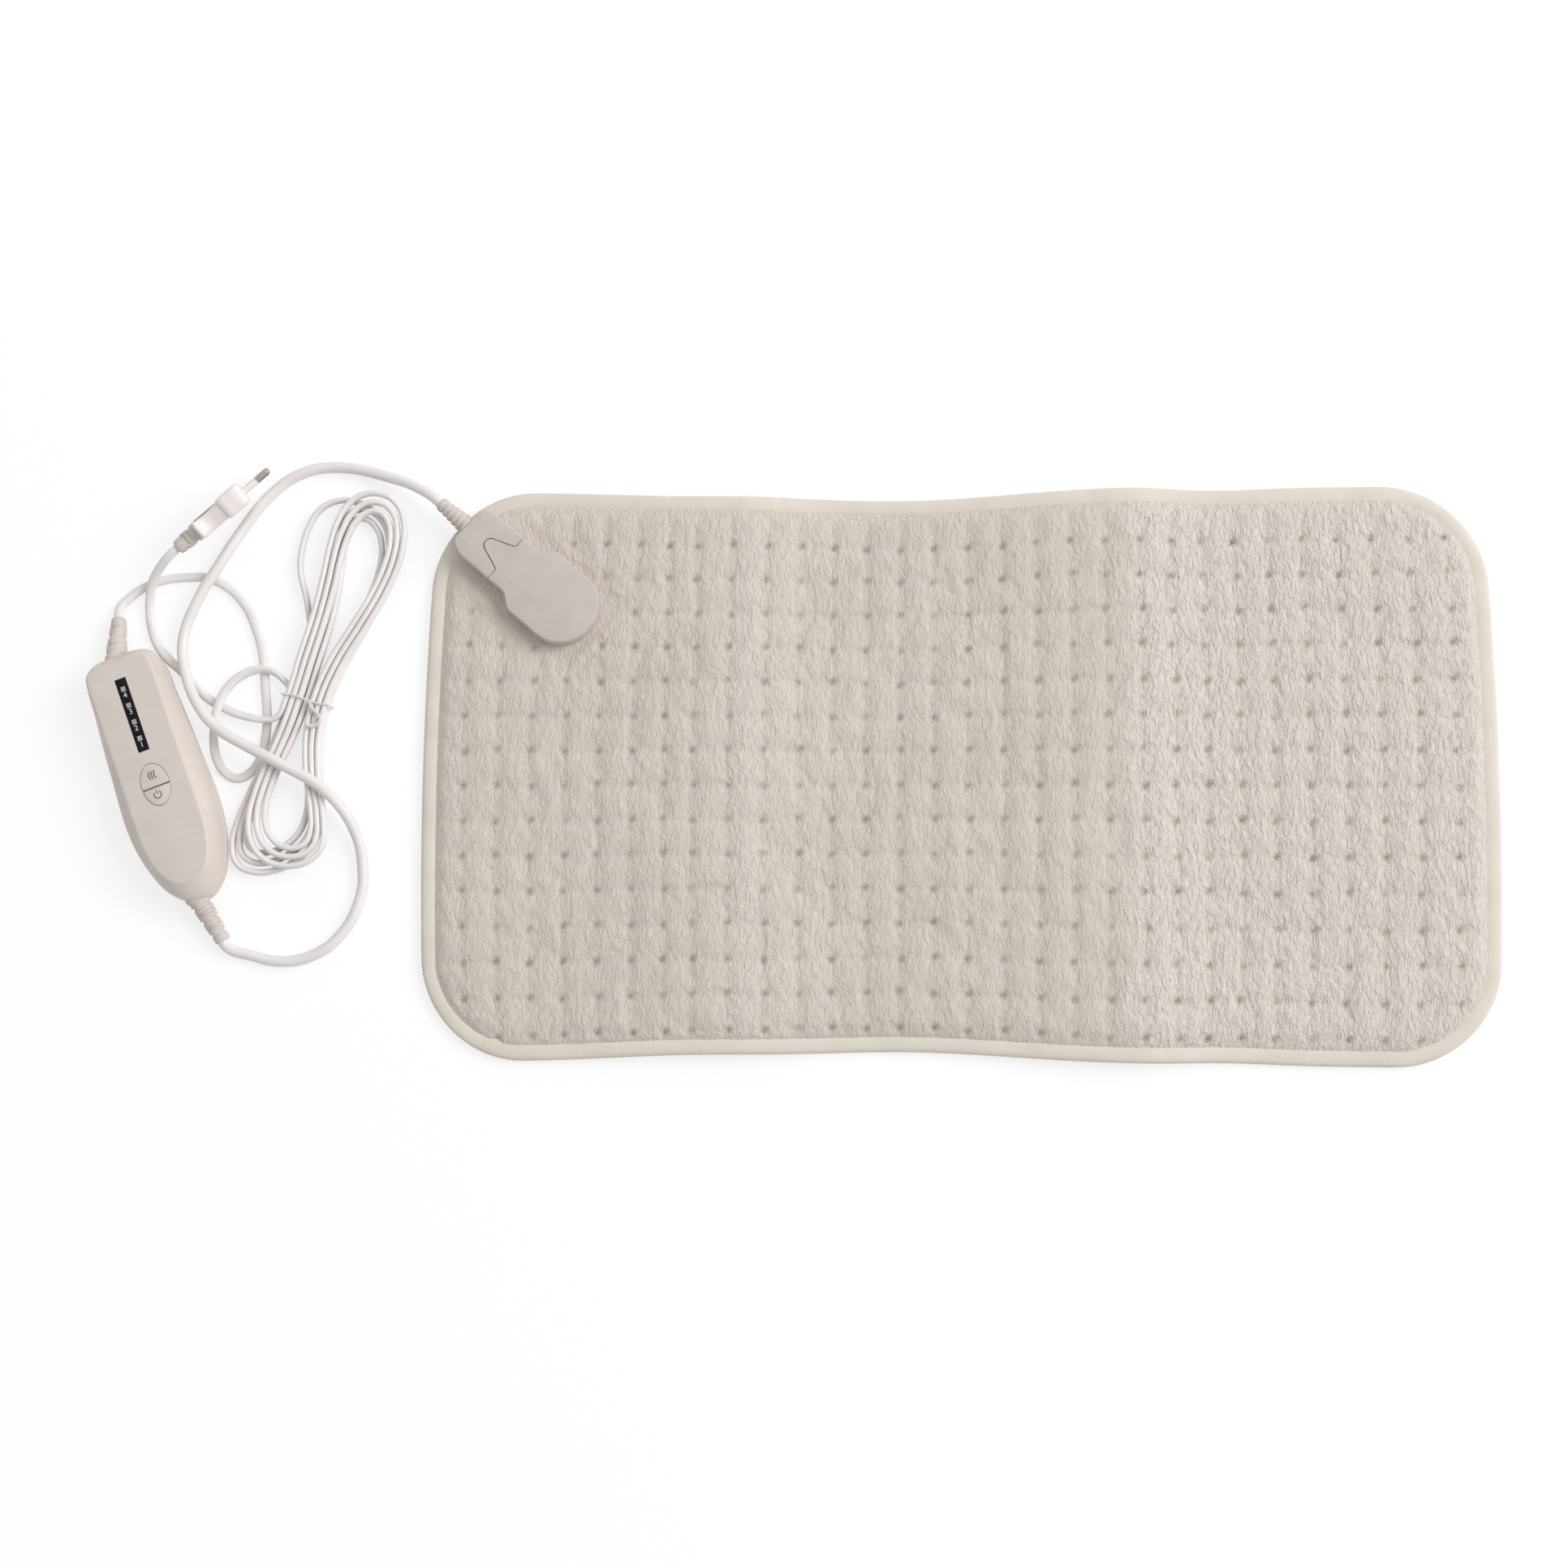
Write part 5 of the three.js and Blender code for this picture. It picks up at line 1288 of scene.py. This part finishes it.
def add_print():
    """Striped bars and digits, from the highest level at the square end to 1."""
    bm = bmesh.new()
    level = FACE_LEVEL + PRINT_THICK / 2
    for group in range(HEAT_LEVELS):
        down = group * GROUP_STEP
        add_digit(bm, HEAT_LEVELS - group, (WINDOW_MIDDLE[0], DIGIT_FIRST - down, level))
        for stripe in range(BAR_STRIPES):
            y = BAR_FIRST - down + ((BAR_STRIPES - 1) / 2 - stripe) * BAR_STEP
            block(bm, (*BAR_SIZE, PRINT_THICK), (WINDOW_MIDDLE[0], y, level))
    return put(new_piece("display_print", bm, "print", "window", "cord_set"), CASE_PLACE)


def add_button(name, node, body, upper):
    bm = bmesh.new()
    oval_column(bm, 0, BUTTON_LOW, BUTTON_TOP)
    side = 1 if upper else -1
    split = BUTTON_MIDDLE[1] + BUTTON_SPLIT_AT + side * BUTTON_SPLIT / 2
    parts = bm.verts[:] + bm.edges[:] + bm.faces[:]
    cut = bmesh.ops.bisect_plane(
        bm, geom=parts, plane_co=(0, split, 0), plane_no=(0, -side, 0), clear_outer=True
    )["geom_cut"]
    bmesh.ops.edgeloop_fill(bm, edges=[item for item in cut if isinstance(item, bmesh.types.BMEdge)])
    top = [edge for edge in bm.edges if all(vert.co.z > BUTTON_TOP - 1e-5 for vert in edge.verts)]
    round_edges(bm, top, BUTTON_EASE, 3)
    put(new_piece(name, bm, "shell", "shell", body, node), CASE_PLACE, CASE_CREASE)


def add_sign(name, lines, body):
    """Printed lines on a button, as thin tubes half sunk into it."""
    bm = bmesh.new()
    for points in lines:
        add_tube(bm, points, SIGN_RADIUS, 1)
    bmesh.ops.scale(bm, vec=(1, 1, SIGN_FLATNESS), verts=bm.verts)
    bmesh.ops.translate(bm, vec=(0, 0, BUTTON_TOP), verts=bm.verts)
    put(new_piece(name, bm, "sign", "shell", body), CASE_PLACE)


def heat_lines():
    x, y = HEAT_SIGN_AT
    wave = [
        (HEAT_WAVE["swing"] * math.sin(i * HEAT_WAVE["turn"]), HEAT_WAVE["top"] - i * HEAT_WAVE["step"])
        for i in range(HEAT_WAVE["points"])
    ]
    return [[(x + side * HEAT_WAVE["apart"] + a, y + b, 0) for a, b in wave] for side in (-1, 0, 1)]


def power_lines():
    x, y = POWER_SIGN_AT
    steps = POWER_ARC["steps"]
    turns = [math.radians(POWER_ARC["from"] + POWER_ARC["over"] * i / steps) for i in range(steps + 1)]
    ring = [(x + POWER_RING * math.cos(turn), y + POWER_RING * math.sin(turn), 0) for turn in turns]
    return [ring, [(x, y + up, 0) for up in POWER_BAR]]


add_window()
display_print = add_print()
add_button("heat_cap", "heat_button", "heat_key", True)
add_button("power_cap", "power_button", "power_key", False)
add_sign("heat_sign", heat_lines(), "heat_key")
add_sign("power_sign", power_lines(), "power_key")
print("display print:", len(display_print.data.polygons), "faces")

# %% [markdown]
# The pad cord ends in a connector that slides into a socket sewn on the pad. A latch tongue of the
# socket reaches back over the connector and lies in a recess there. The socket's cover is lofted in
# two parts, the upper one with the tongue in its outline, and the recess is cut with a Boolean.

# %% Socket and connector
SOCKET_TURN = math.radians(-130.5)
SOCKET_PLACE = Matrix.Translation(SOCKET_AT) @ Matrix.Rotation(SOCKET_TURN, 4, "Z")
SOCKET_BOW = [
    (0.0, 0.064), (0.0084, 0.0625), (0.0155, 0.0581), (0.0202, 0.0517), (0.0219, 0.044), (0.0219, 0.033),
    (0.0219, 0.023), (0.0213, 0.0195), (0.0188, 0.016), (0.0163, 0.0128), (0.0157, 0.0105), (0.0157, 0.005),
    (0.0157, 0.0006), (0.0152, 0.0),
]
SOCKET_FRONT = [(0.012, 0.0), (0.006, 0.0), (0.0, 0.0)]
TONGUE = [
    (0.0135, 0.0), (0.011, 0.0), (0.0095, 0.0), (0.0086, -0.0003), (0.0079, -0.0017), (0.0062, -0.006),
    (0.0043, -0.0112), (0.0027, -0.0145), (0.0, -0.0157),
]
RECESS = [
    (0.0, 0.003), (0.004, 0.003), (0.0075, 0.003), (0.0087, 0.0024), (0.0089, 0.0012), (0.0088, -0.0004),
    (0.0081, -0.002), (0.0066, -0.006), (0.0047, -0.0111), (0.0031, -0.0147), (0.0, -0.0161),
]
CONNECTOR_BOW = [
    (0.0, -0.0003), (0.008, -0.0003), (0.0152, -0.0003), (0.0157, -0.0008), (0.0157, -0.008),
    (0.0157, -0.016), (0.0156, -0.022), (0.0146, -0.0256), (0.0126, -0.029), (0.0105, -0.0307),
    (0.006, -0.031), (0.0, -0.031),
]
SOCKET_POINTS, RECESS_POINTS = 176, 96
RECESS_LEVELS = (0.0167, 0.022)
SOCKET_LEVELS = {"low": 0.0088, "base": 0.0138, "cover": 0.0141, "tongue": 0.0171, "top": 0.0201}
CONNECTOR_LEVELS = {"low": 0.0091, "lower": 0.0138, "upper": 0.0141, "top": 0.0198}
EDGE_EASE, SEAM_SHARE = 0.0017, 0.2
EASE_STEPS = [(0.15, 0.45), (0.45, 0.12), (1.0, 0.0)]
SOCKET_SEAM, CONNECTOR_SEAM = 0.0008, -0.0012
FOOT_INSET, FOOT_RISE = 0.0012, 0.001
COVER_LAP = 0.0002
LINE_THICK = 0.0003
NECK_LINE = {"x": 0.008, "y": -0.0262, "length": 0.008, "wide": 0.0007}
MOULD_LINE = {"x": 0.0083, "y": 0.0185, "length": 0.036, "wide": 0.00028}
TONGUE_DOT = {"x": -0.0008, "y": -0.0092, "radius": 0.0008, "flatness": 0.4}


def eased_top(outline, low, top, on_seam):
    """Rings of a flat-topped body. Its upper edge is eased, but hardly so along the seam."""
    rings = [grown(outline, 0, low), grown(outline, 0, top - EDGE_EASE)]
    for inward, down in EASE_STEPS:
        level = top - down * EDGE_EASE
        wide = grown(outline, -inward * EDGE_EASE, level)
        tight = grown(outline, -SEAM_SHARE * inward * EDGE_EASE, level)
        rings.append([near if on_seam(place.y) else far for place, far, near in zip(outline, wide, tight)])
    return rings


def raised_line(bm, line, level):
    block(bm, (line["wide"], line["length"], LINE_THICK), (line["x"], line["y"], level), line["wide"] / 4)


def socket_piece(name, bm, body, *nodes):
    return new_piece(name, bm, "connector", "connector_shell", body, *nodes)


def add_foot(name, outline, low, top, body, node):
    """Lower half of the socket or the connector, drawn in at its bottom edge."""
    bm = bmesh.new()
    loft(bm, [grown(outline, -FOOT_INSET, low), grown(outline, 0, low + FOOT_RISE), grown(outline, 0, top)])
    put(socket_piece(name, bm, body, node), SOCKET_PLACE)


def add_socket():
    plain = smooth_outline(mirrored(SOCKET_BOW + SOCKET_FRONT), SOCKET_POINTS)
    tongued = smooth_outline(mirrored(SOCKET_BOW + TONGUE), SOCKET_POINTS)
    level = SOCKET_LEVELS
    add_foot("socket_foot", plain, level["low"], level["base"], "pad", "socket_base")
    bm = bmesh.new()
    loft(bm, [grown(plain, 0, level["cover"]), grown(plain, 0, level["tongue"] + COVER_LAP)])
    loft(bm, eased_top(tongued, level["tongue"], level["top"], lambda y: y < SOCKET_SEAM))
    raised_line(bm, MOULD_LINE, level["top"])
    dot = bmesh.ops.create_uvsphere(bm, u_segments=16, v_segments=8, radius=TONGUE_DOT["radius"])["verts"]
    bmesh.ops.scale(bm, vec=(1, 1, TONGUE_DOT["flatness"]), verts=dot)
    bmesh.ops.translate(bm, vec=(TONGUE_DOT["x"], TONGUE_DOT["y"], level["top"]), verts=dot)
    return put(socket_piece("socket_lid", bm, "pad", "socket_cover"), SOCKET_PLACE)


def add_connector():
    outline = smooth_outline(mirrored(CONNECTOR_BOW), SOCKET_POINTS)
    recess = smooth_outline(mirrored(RECESS), RECESS_POINTS)
    level = CONNECTOR_LEVELS
    add_foot("connector_foot", outline, level["low"], level["lower"], "cord_set", "connector_lower_shell")
    bm = bmesh.new()
    loft(bm, eased_top(outline, level["upper"], level["top"], lambda y: y > CONNECTOR_SEAM))
    upper = socket_piece("connector_lid", bm, "cord_set", "connector_upper_shell")
    cutter = bmesh.new()
    loft(cutter, [grown(recess, 0, height) for height in RECESS_LEVELS])
    cut_away(upper, cutter)
    bm = bmesh.new()
    for side in (-1, 1):
        raised_line(bm, {**NECK_LINE, "x": side * NECK_LINE["x"]}, level["top"])
    put(socket_piece("connector_lines", bm, "cord_set"), SOCKET_PLACE)
    return put(upper, SOCKET_PLACE)


socket_lid = add_socket()
connector_lid = add_connector()
print("lid faces: socket", len(socket_lid.data.polygons), "and connector", len(connector_lid.data.polygons))

# %% [markdown]
# Strain reliefs are soft sleeves that keep a cord from kinking. They are lofted from rings of points
# whose radius drops in the grooves. The connector's grooves run all the way around. Those of the
# controller and of the plug are short slots that change sides from row to row, so that the sleeve
# bends the same way in every direction.

# %% Strain reliefs
RELIEF_SIDES = 40
RELIEF_GROOVE = 0.0011
SLOT_FROM, SLOT_FADE = 0.45, 0.15
COLLAR_LENGTH = 0.0042
COLLAR_RINGS = [(0.0, 0.96), (0.0016, 1.0), (0.0034, 0.94)]
RIB_EASE = 0.0002
RIB_SHARES, GROOVE_SHARES = (0.1, 0.52), (0.60, 0.92)
TIP_LENGTH, TIP_EASE = 0.0006, 0.0005
RELIEF_CREASE = 50
RELIEFS = {
    ("connector_sleeve", "connector_strain_relief"): {
        "mouth": CONNECTOR_MOUTH, "length": 0.0216, "radii": (0.0060, 0.0040), "rows": 6, "staggered": False,
    },
    ("upper_sleeve", "upper_strain_relief"): {
        "mouth": UPPER_MOUTH, "length": 0.0280, "radii": (0.0066, 0.0042), "rows": 5,
    },
    ("lower_sleeve", "lower_strain_relief"): {
        "mouth": LOWER_MOUTH, "length": 0.0310, "radii": (0.0062, 0.0044), "rows": 6, "collar": 0.0072,
    },
    ("plug_sleeve", "plug_strain_relief"): {
        "mouth": PLUG_MOUTH, "length": 0.0156, "radii": (0.0058, 0.0042), "rows": 3,
    },
}


def groove_share(turn, row, staggered):
    """How much of the groove's depth is cut at an angle around the sleeve."""
    if not staggered:
        return 1.0
    facing = abs(math.cos(turn - (row % 2) * math.pi / 2))
    return min(1.0, max(0.0, (facing - SLOT_FROM) / SLOT_FADE))


def relief_rings(mouth, length, radii, rows, staggered=True, collar=0.0):
    tip, way = Vector(mouth[0]), Vector(mouth[1]).normalized()
    root = tip - way * length
    side = way.cross(Vector((0, 0, 1))).normalized()
    over = side.cross(way)
    turns = [2 * math.pi * i / RELIEF_SIDES for i in range(RELIEF_SIDES)]

    def ring(along, radius, row=0, depth=0.0):
        reaches = [radius - depth * groove_share(turn, row, staggered) for turn in turns]
        return [
            root + way * along + side * (reach * math.cos(turn)) + over * (reach * math.sin(turn))
            for turn, reach in zip(turns, reaches)
        ]

    start = 0.0
    rings = []
    if collar:
        start = COLLAR_LENGTH
        rings += [ring(along, collar * share) for along, share in COLLAR_RINGS]
    pitch = (length - start) / rows
    for row in range(rows):
        radius = radii[0] + (radii[1] - radii[0]) * (row + 0.5) / rows
        low = start + row * pitch
        rings.append(ring(low, radius - RIB_EASE))
        rings += [ring(low + pitch * share, radius) for share in RIB_SHARES]
        if row + 1 < rows:
            rings += [ring(low + pitch * share, radius, row, RELIEF_GROOVE) for share in GROOVE_SHARES]
    rings += [ring(length - TIP_LENGTH, radii[1]), ring(length, radii[1] - TIP_EASE)]
    return rings


for (sleeve_name, sleeve_node), sleeve in RELIEFS.items():
    bm = bmesh.new()
    loft(bm, relief_rings(**sleeve))
    piece = new_piece(sleeve_name, bm, "grip", "soft_grip", "cord_set", sleeve_node)
    put(piece, Matrix.Identity(4), RELIEF_CREASE)
print("strain reliefs:", len(RELIEFS))

# %% [markdown]
# The plug is a flat two-pin plug that lies on its edge. Its front block is a little thicker than the
# handle behind it, and the handle is drawn in for the fingers. Each round pin has a pale sleeve near
# the plug and a bare metal tip. They are made along Y, with the pins side by side along X.

# %% Mains plug
PLUG_AXIS = Vector((0.745, 0.667, 0)).normalized()
PLUG_AT = Vector((-0.425, 0.1513, 0.0182))
PLUG_BLOCK = [
    (0.0, 0.0175), (0.011, 0.0175), (0.0148, 0.0168), (0.016, 0.0142), (0.016, 0.008), (0.0156, 0.0038),
    (0.0142, 0.0018), (0.008, 0.0014), (0.0, 0.0014),
]
PLUG_HANDLE = [
    (0.0, 0.005), (0.0128, 0.005), (0.0135, 0.0028), (0.0122, -0.0022), (0.0107, -0.0072), (0.0108, -0.011),
    (0.0126, -0.0143), (0.0137, -0.0160), (0.0128, -0.0173), (0.008, -0.0175), (0.0, -0.0175),
]
PLUG_POINTS = 112
BLOCK_HALF, HANDLE_HALF = 0.0067, 0.0057
BLOCK_EASE, HANDLE_EASE = 0.0012, 0.0016
SLAB_EASE = [(1.9, 0.0), (0.7, 0.2), (0.15, 0.8), (0.0, 2.0)]
PLUG_CREASE = 50
METAL_TONE_SCALE = 300.0
PIN_SIDE = 0.0093
PIN_RADIUS, PIN_SIDES = 0.0020, 28
PIN_FRONT, SLEEVE_END, PIN_END = 0.0172, 0.0275, 0.0365
SLEEVE_ROUND, TIP_ROUND = 0.0002, 0.0015


def plug_place():
    flat = Vector((PLUG_AXIS.y, -PLUG_AXIS.x, 0))
    wide = flat * math.cos(PLUG_LEAN) + Vector((0, 0, 1)) * math.sin(PLUG_LEAN)
    thin = wide.cross(PLUG_AXIS)
    turn = Matrix((wide, PLUG_AXIS, thin)).transposed()
    return Matrix.Translation(PLUG_AT) @ turn.to_4x4()


def slab_rings(outline, half, ease):
    """Rings of a slab of that half thickness with eased edges."""
    steps = [(-inward * ease, half - down * ease) for inward, down in SLAB_EASE]
    upper = [grown(outline, by, level) for by, level in steps]
    lower = [grown(outline, by, -level) for by, level in steps]
    return lower + upper[::-1]


def metal(name, low, high, rough):
    material, tree, shader = material_nodes(name)
    mixed_tones(tree, shader, low, high, METAL_TONE_SCALE)
    set_inputs(tree, shader, Metallic=1.0, Roughness=rough)
    return material


LOOKS["nickel"] = metal("nickel_plate", (0.30, 0.27, 0.23), (0.40, 0.37, 0.32), 0.25)
PLUG_PLACE = plug_place()


def add_plug():
    bm = bmesh.new()
    loft(bm, slab_rings(smooth_outline(mirrored(PLUG_BLOCK), PLUG_POINTS), BLOCK_HALF, BLOCK_EASE))
    loft(bm, slab_rings(smooth_outline(mirrored(PLUG_HANDLE), PLUG_POINTS), HANDLE_HALF, HANDLE_EASE))
    plug = new_piece("plug_grip", bm, "plug", "shell", "cord_set", "plug_body")
    return put(plug, PLUG_PLACE, PLUG_CREASE)


def pin_part(name, node, look, slot, x, low, high, tip):
    """Round bar along Y, with its far edge rounded."""
    bm = bmesh.new()
    column(bm, PIN_RADIUS, low, high, PIN_SIDES)
    end = [edge for edge in bm.edges if all(vert.co.z > (low + high) / 2 for vert in edge.verts)]
    round_edges(bm, end, tip, 5)
    bmesh.ops.rotate(bm, cent=(0, 0, 0), matrix=Matrix.Rotation(-math.pi / 2, 3, "X"), verts=bm.verts)
    bmesh.ops.translate(bm, vec=(x, 0, 0), verts=bm.verts)
    return put(new_piece(name, bm, look, slot, "cord_set", node), PLUG_PLACE, PLUG_CREASE)


LOOKS["plug"] = plastic("pale_plug_plastic", (0.88, 0.815, 0.795), (0.92, 0.855, 0.835), 0.4)
plug = add_plug()
for number, x in ((1, -PIN_SIDE), (2, PIN_SIDE)):
    pin_part(
        f"sleeve_{number}", f"pin_sleeve_{number}", "plug", "shell", x, PIN_FRONT, SLEEVE_END, SLEEVE_ROUND)
    pin_part(
        f"pin_tip_{number}", f"plug_pin_{number}", "nickel", "metal", x, SLEEVE_END, PIN_END, TIP_ROUND)
print("plug:", len(plug.data.polygons), "faces")

# %% [markdown]
# A wire tie holds the hank at its waist: one loop around all the strands, and its two ends twisted
# together on top. Loop and ends are thin round curves made a mesh. The twist is two helices that
# share one middle line.

# %% Wire tie
TIE_RADIUS = 0.00055
TIE_CREASE = 60
TIE_HALF, TIE_SHIFT = 0.0152, 0.0012
TIE_SLACK = 0.0009
TIE_TOP = HANK_LOW + HANK_LAYER + MAINS_WIDE / 2 + TIE_SLACK
TIE_LOW = TIE_RADIUS + 0.0001
TIE_CORNER = 0.0035
TIE_ROUNDING = [(1.6, 0.0), (1.0, 0.0), (0.3, 0.3), (0.0, 1.0)]
TIE_WAVE, TIE_WAVES = 0.0006, 9
TWIST_RADIUS = 0.0006
TWIST_PITCH = 0.0028
TWIST_LINE = [
    (0.004, 0.0), (0.0065, -0.004), (0.0105, -0.006), (0.0135, -0.0095), (0.0115, -0.0135), (0.006, -0.0145),
]


def tie_place():
    middle, way = spine_at(hank_waist)
    across = Vector((way.y, -way.x, 0))
    turn = Matrix((across, way, Vector((0, 0, 1)))).transposed()
    return Matrix.Translation(middle) @ turn.to_4x4()


def tie_loop():
    """Loop around the strands, in the plane across the hank."""
    rounding = [(across * TIE_CORNER, rise * TIE_CORNER) for across, rise in TIE_ROUNDING]
    points = []
    for side, level, up, steps in (
        (1, TIE_LOW, 1, rounding),
        (1, TIE_TOP, -1, rounding[::-1]),
        (-1, TIE_TOP, -1, rounding),
        (-1, TIE_LOW, 1, rounding[::-1]),
    ):
        points += [(side * (TIE_HALF - across), level + up * rise) for across, rise in steps]
    return [(x + TIE_SHIFT, TIE_WAVE * math.sin(TIE_WAVES * x / TIE_HALF), z) for x, z in points]


def twisted(phase):
    """One strand of the twisted ends, winding around their middle line."""
    line = line_points(smooth_line([(x, y, TIE_TOP + TIE_RADIUS + TWIST_RADIUS) for x, y in TWIST_LINE]))
    walked = 0.0
    strand = []
    for before, place, after in zip(line, line[1:], line[2:]):
        walked += (place - before).length
        way = (after - before).normalized()
        side = Vector((way.y, -way.x, 0))
        angle = 2 * math.pi * walked / TWIST_PITCH + phase
        strand.append(place + (side * math.cos(angle) + Vector((0, 0, math.sin(angle)))) * TWIST_RADIUS)
    return strand


def add_tie():
    bm = bmesh.new()
    for points, closed in ((tie_loop(), True), (twisted(0), False), (twisted(math.pi), False)):
        add_tube(bm, points, TIE_RADIUS, 2, closed)
    return put(new_piece("wire_tie", bm, "tie", "cord", "cord_set", "hank_tie"), tie_place(), TIE_CREASE)


LOOKS["tie"] = plastic("tie_coating", (0.76, 0.75, 0.74), (0.82, 0.81, 0.80), 0.4)
tie = add_tie()
print("tie:", len(tie.data.polygons), "faces")

# %% [markdown]
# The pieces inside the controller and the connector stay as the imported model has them, because no
# view shows them whole. Each still gets a material of its own kind: green board, dark components,
# milky lamps and fuse, bright contacts and screws.

# %% Pieces left as they are packed
LOOKS["board"] = plastic("green_board", (0.022, 0.085, 0.036), (0.030, 0.110, 0.046), 0.5)
LOOKS["lamp"] = plastic("milky_lamp", (0.76, 0.80, 0.74), (0.82, 0.86, 0.80), 0.3)
LOOKS["steel"] = metal("plated_steel", (0.45, 0.43, 0.40), (0.55, 0.53, 0.50), 0.32)
INSIDE = {
    "board": ["circuit_board"],
    "component": ["triac", "capacitor", "microcontroller", "heat_switch", "power_switch"],
    "lamp": ["fuse"] + [f"level_led_{number}" for number in range(1, 5)],
    "steel": ["heat_plunger", "power_plunger"] + [f"shell_screw_{number}" for number in range(1, 5)]
    + [f"contact_pin_{number}" for number in range(1, 4)]
    + [f"contact_sleeve_{number}" for number in range(1, 4)],
}
for look, names in INSIDE.items():
    for node_name in names:
        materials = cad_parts[node_name].data.materials
        materials.clear()
        materials.append(LOOKS[look])
print("packed pieces with a material:", sum(len(names) for names in INSIDE.values()))
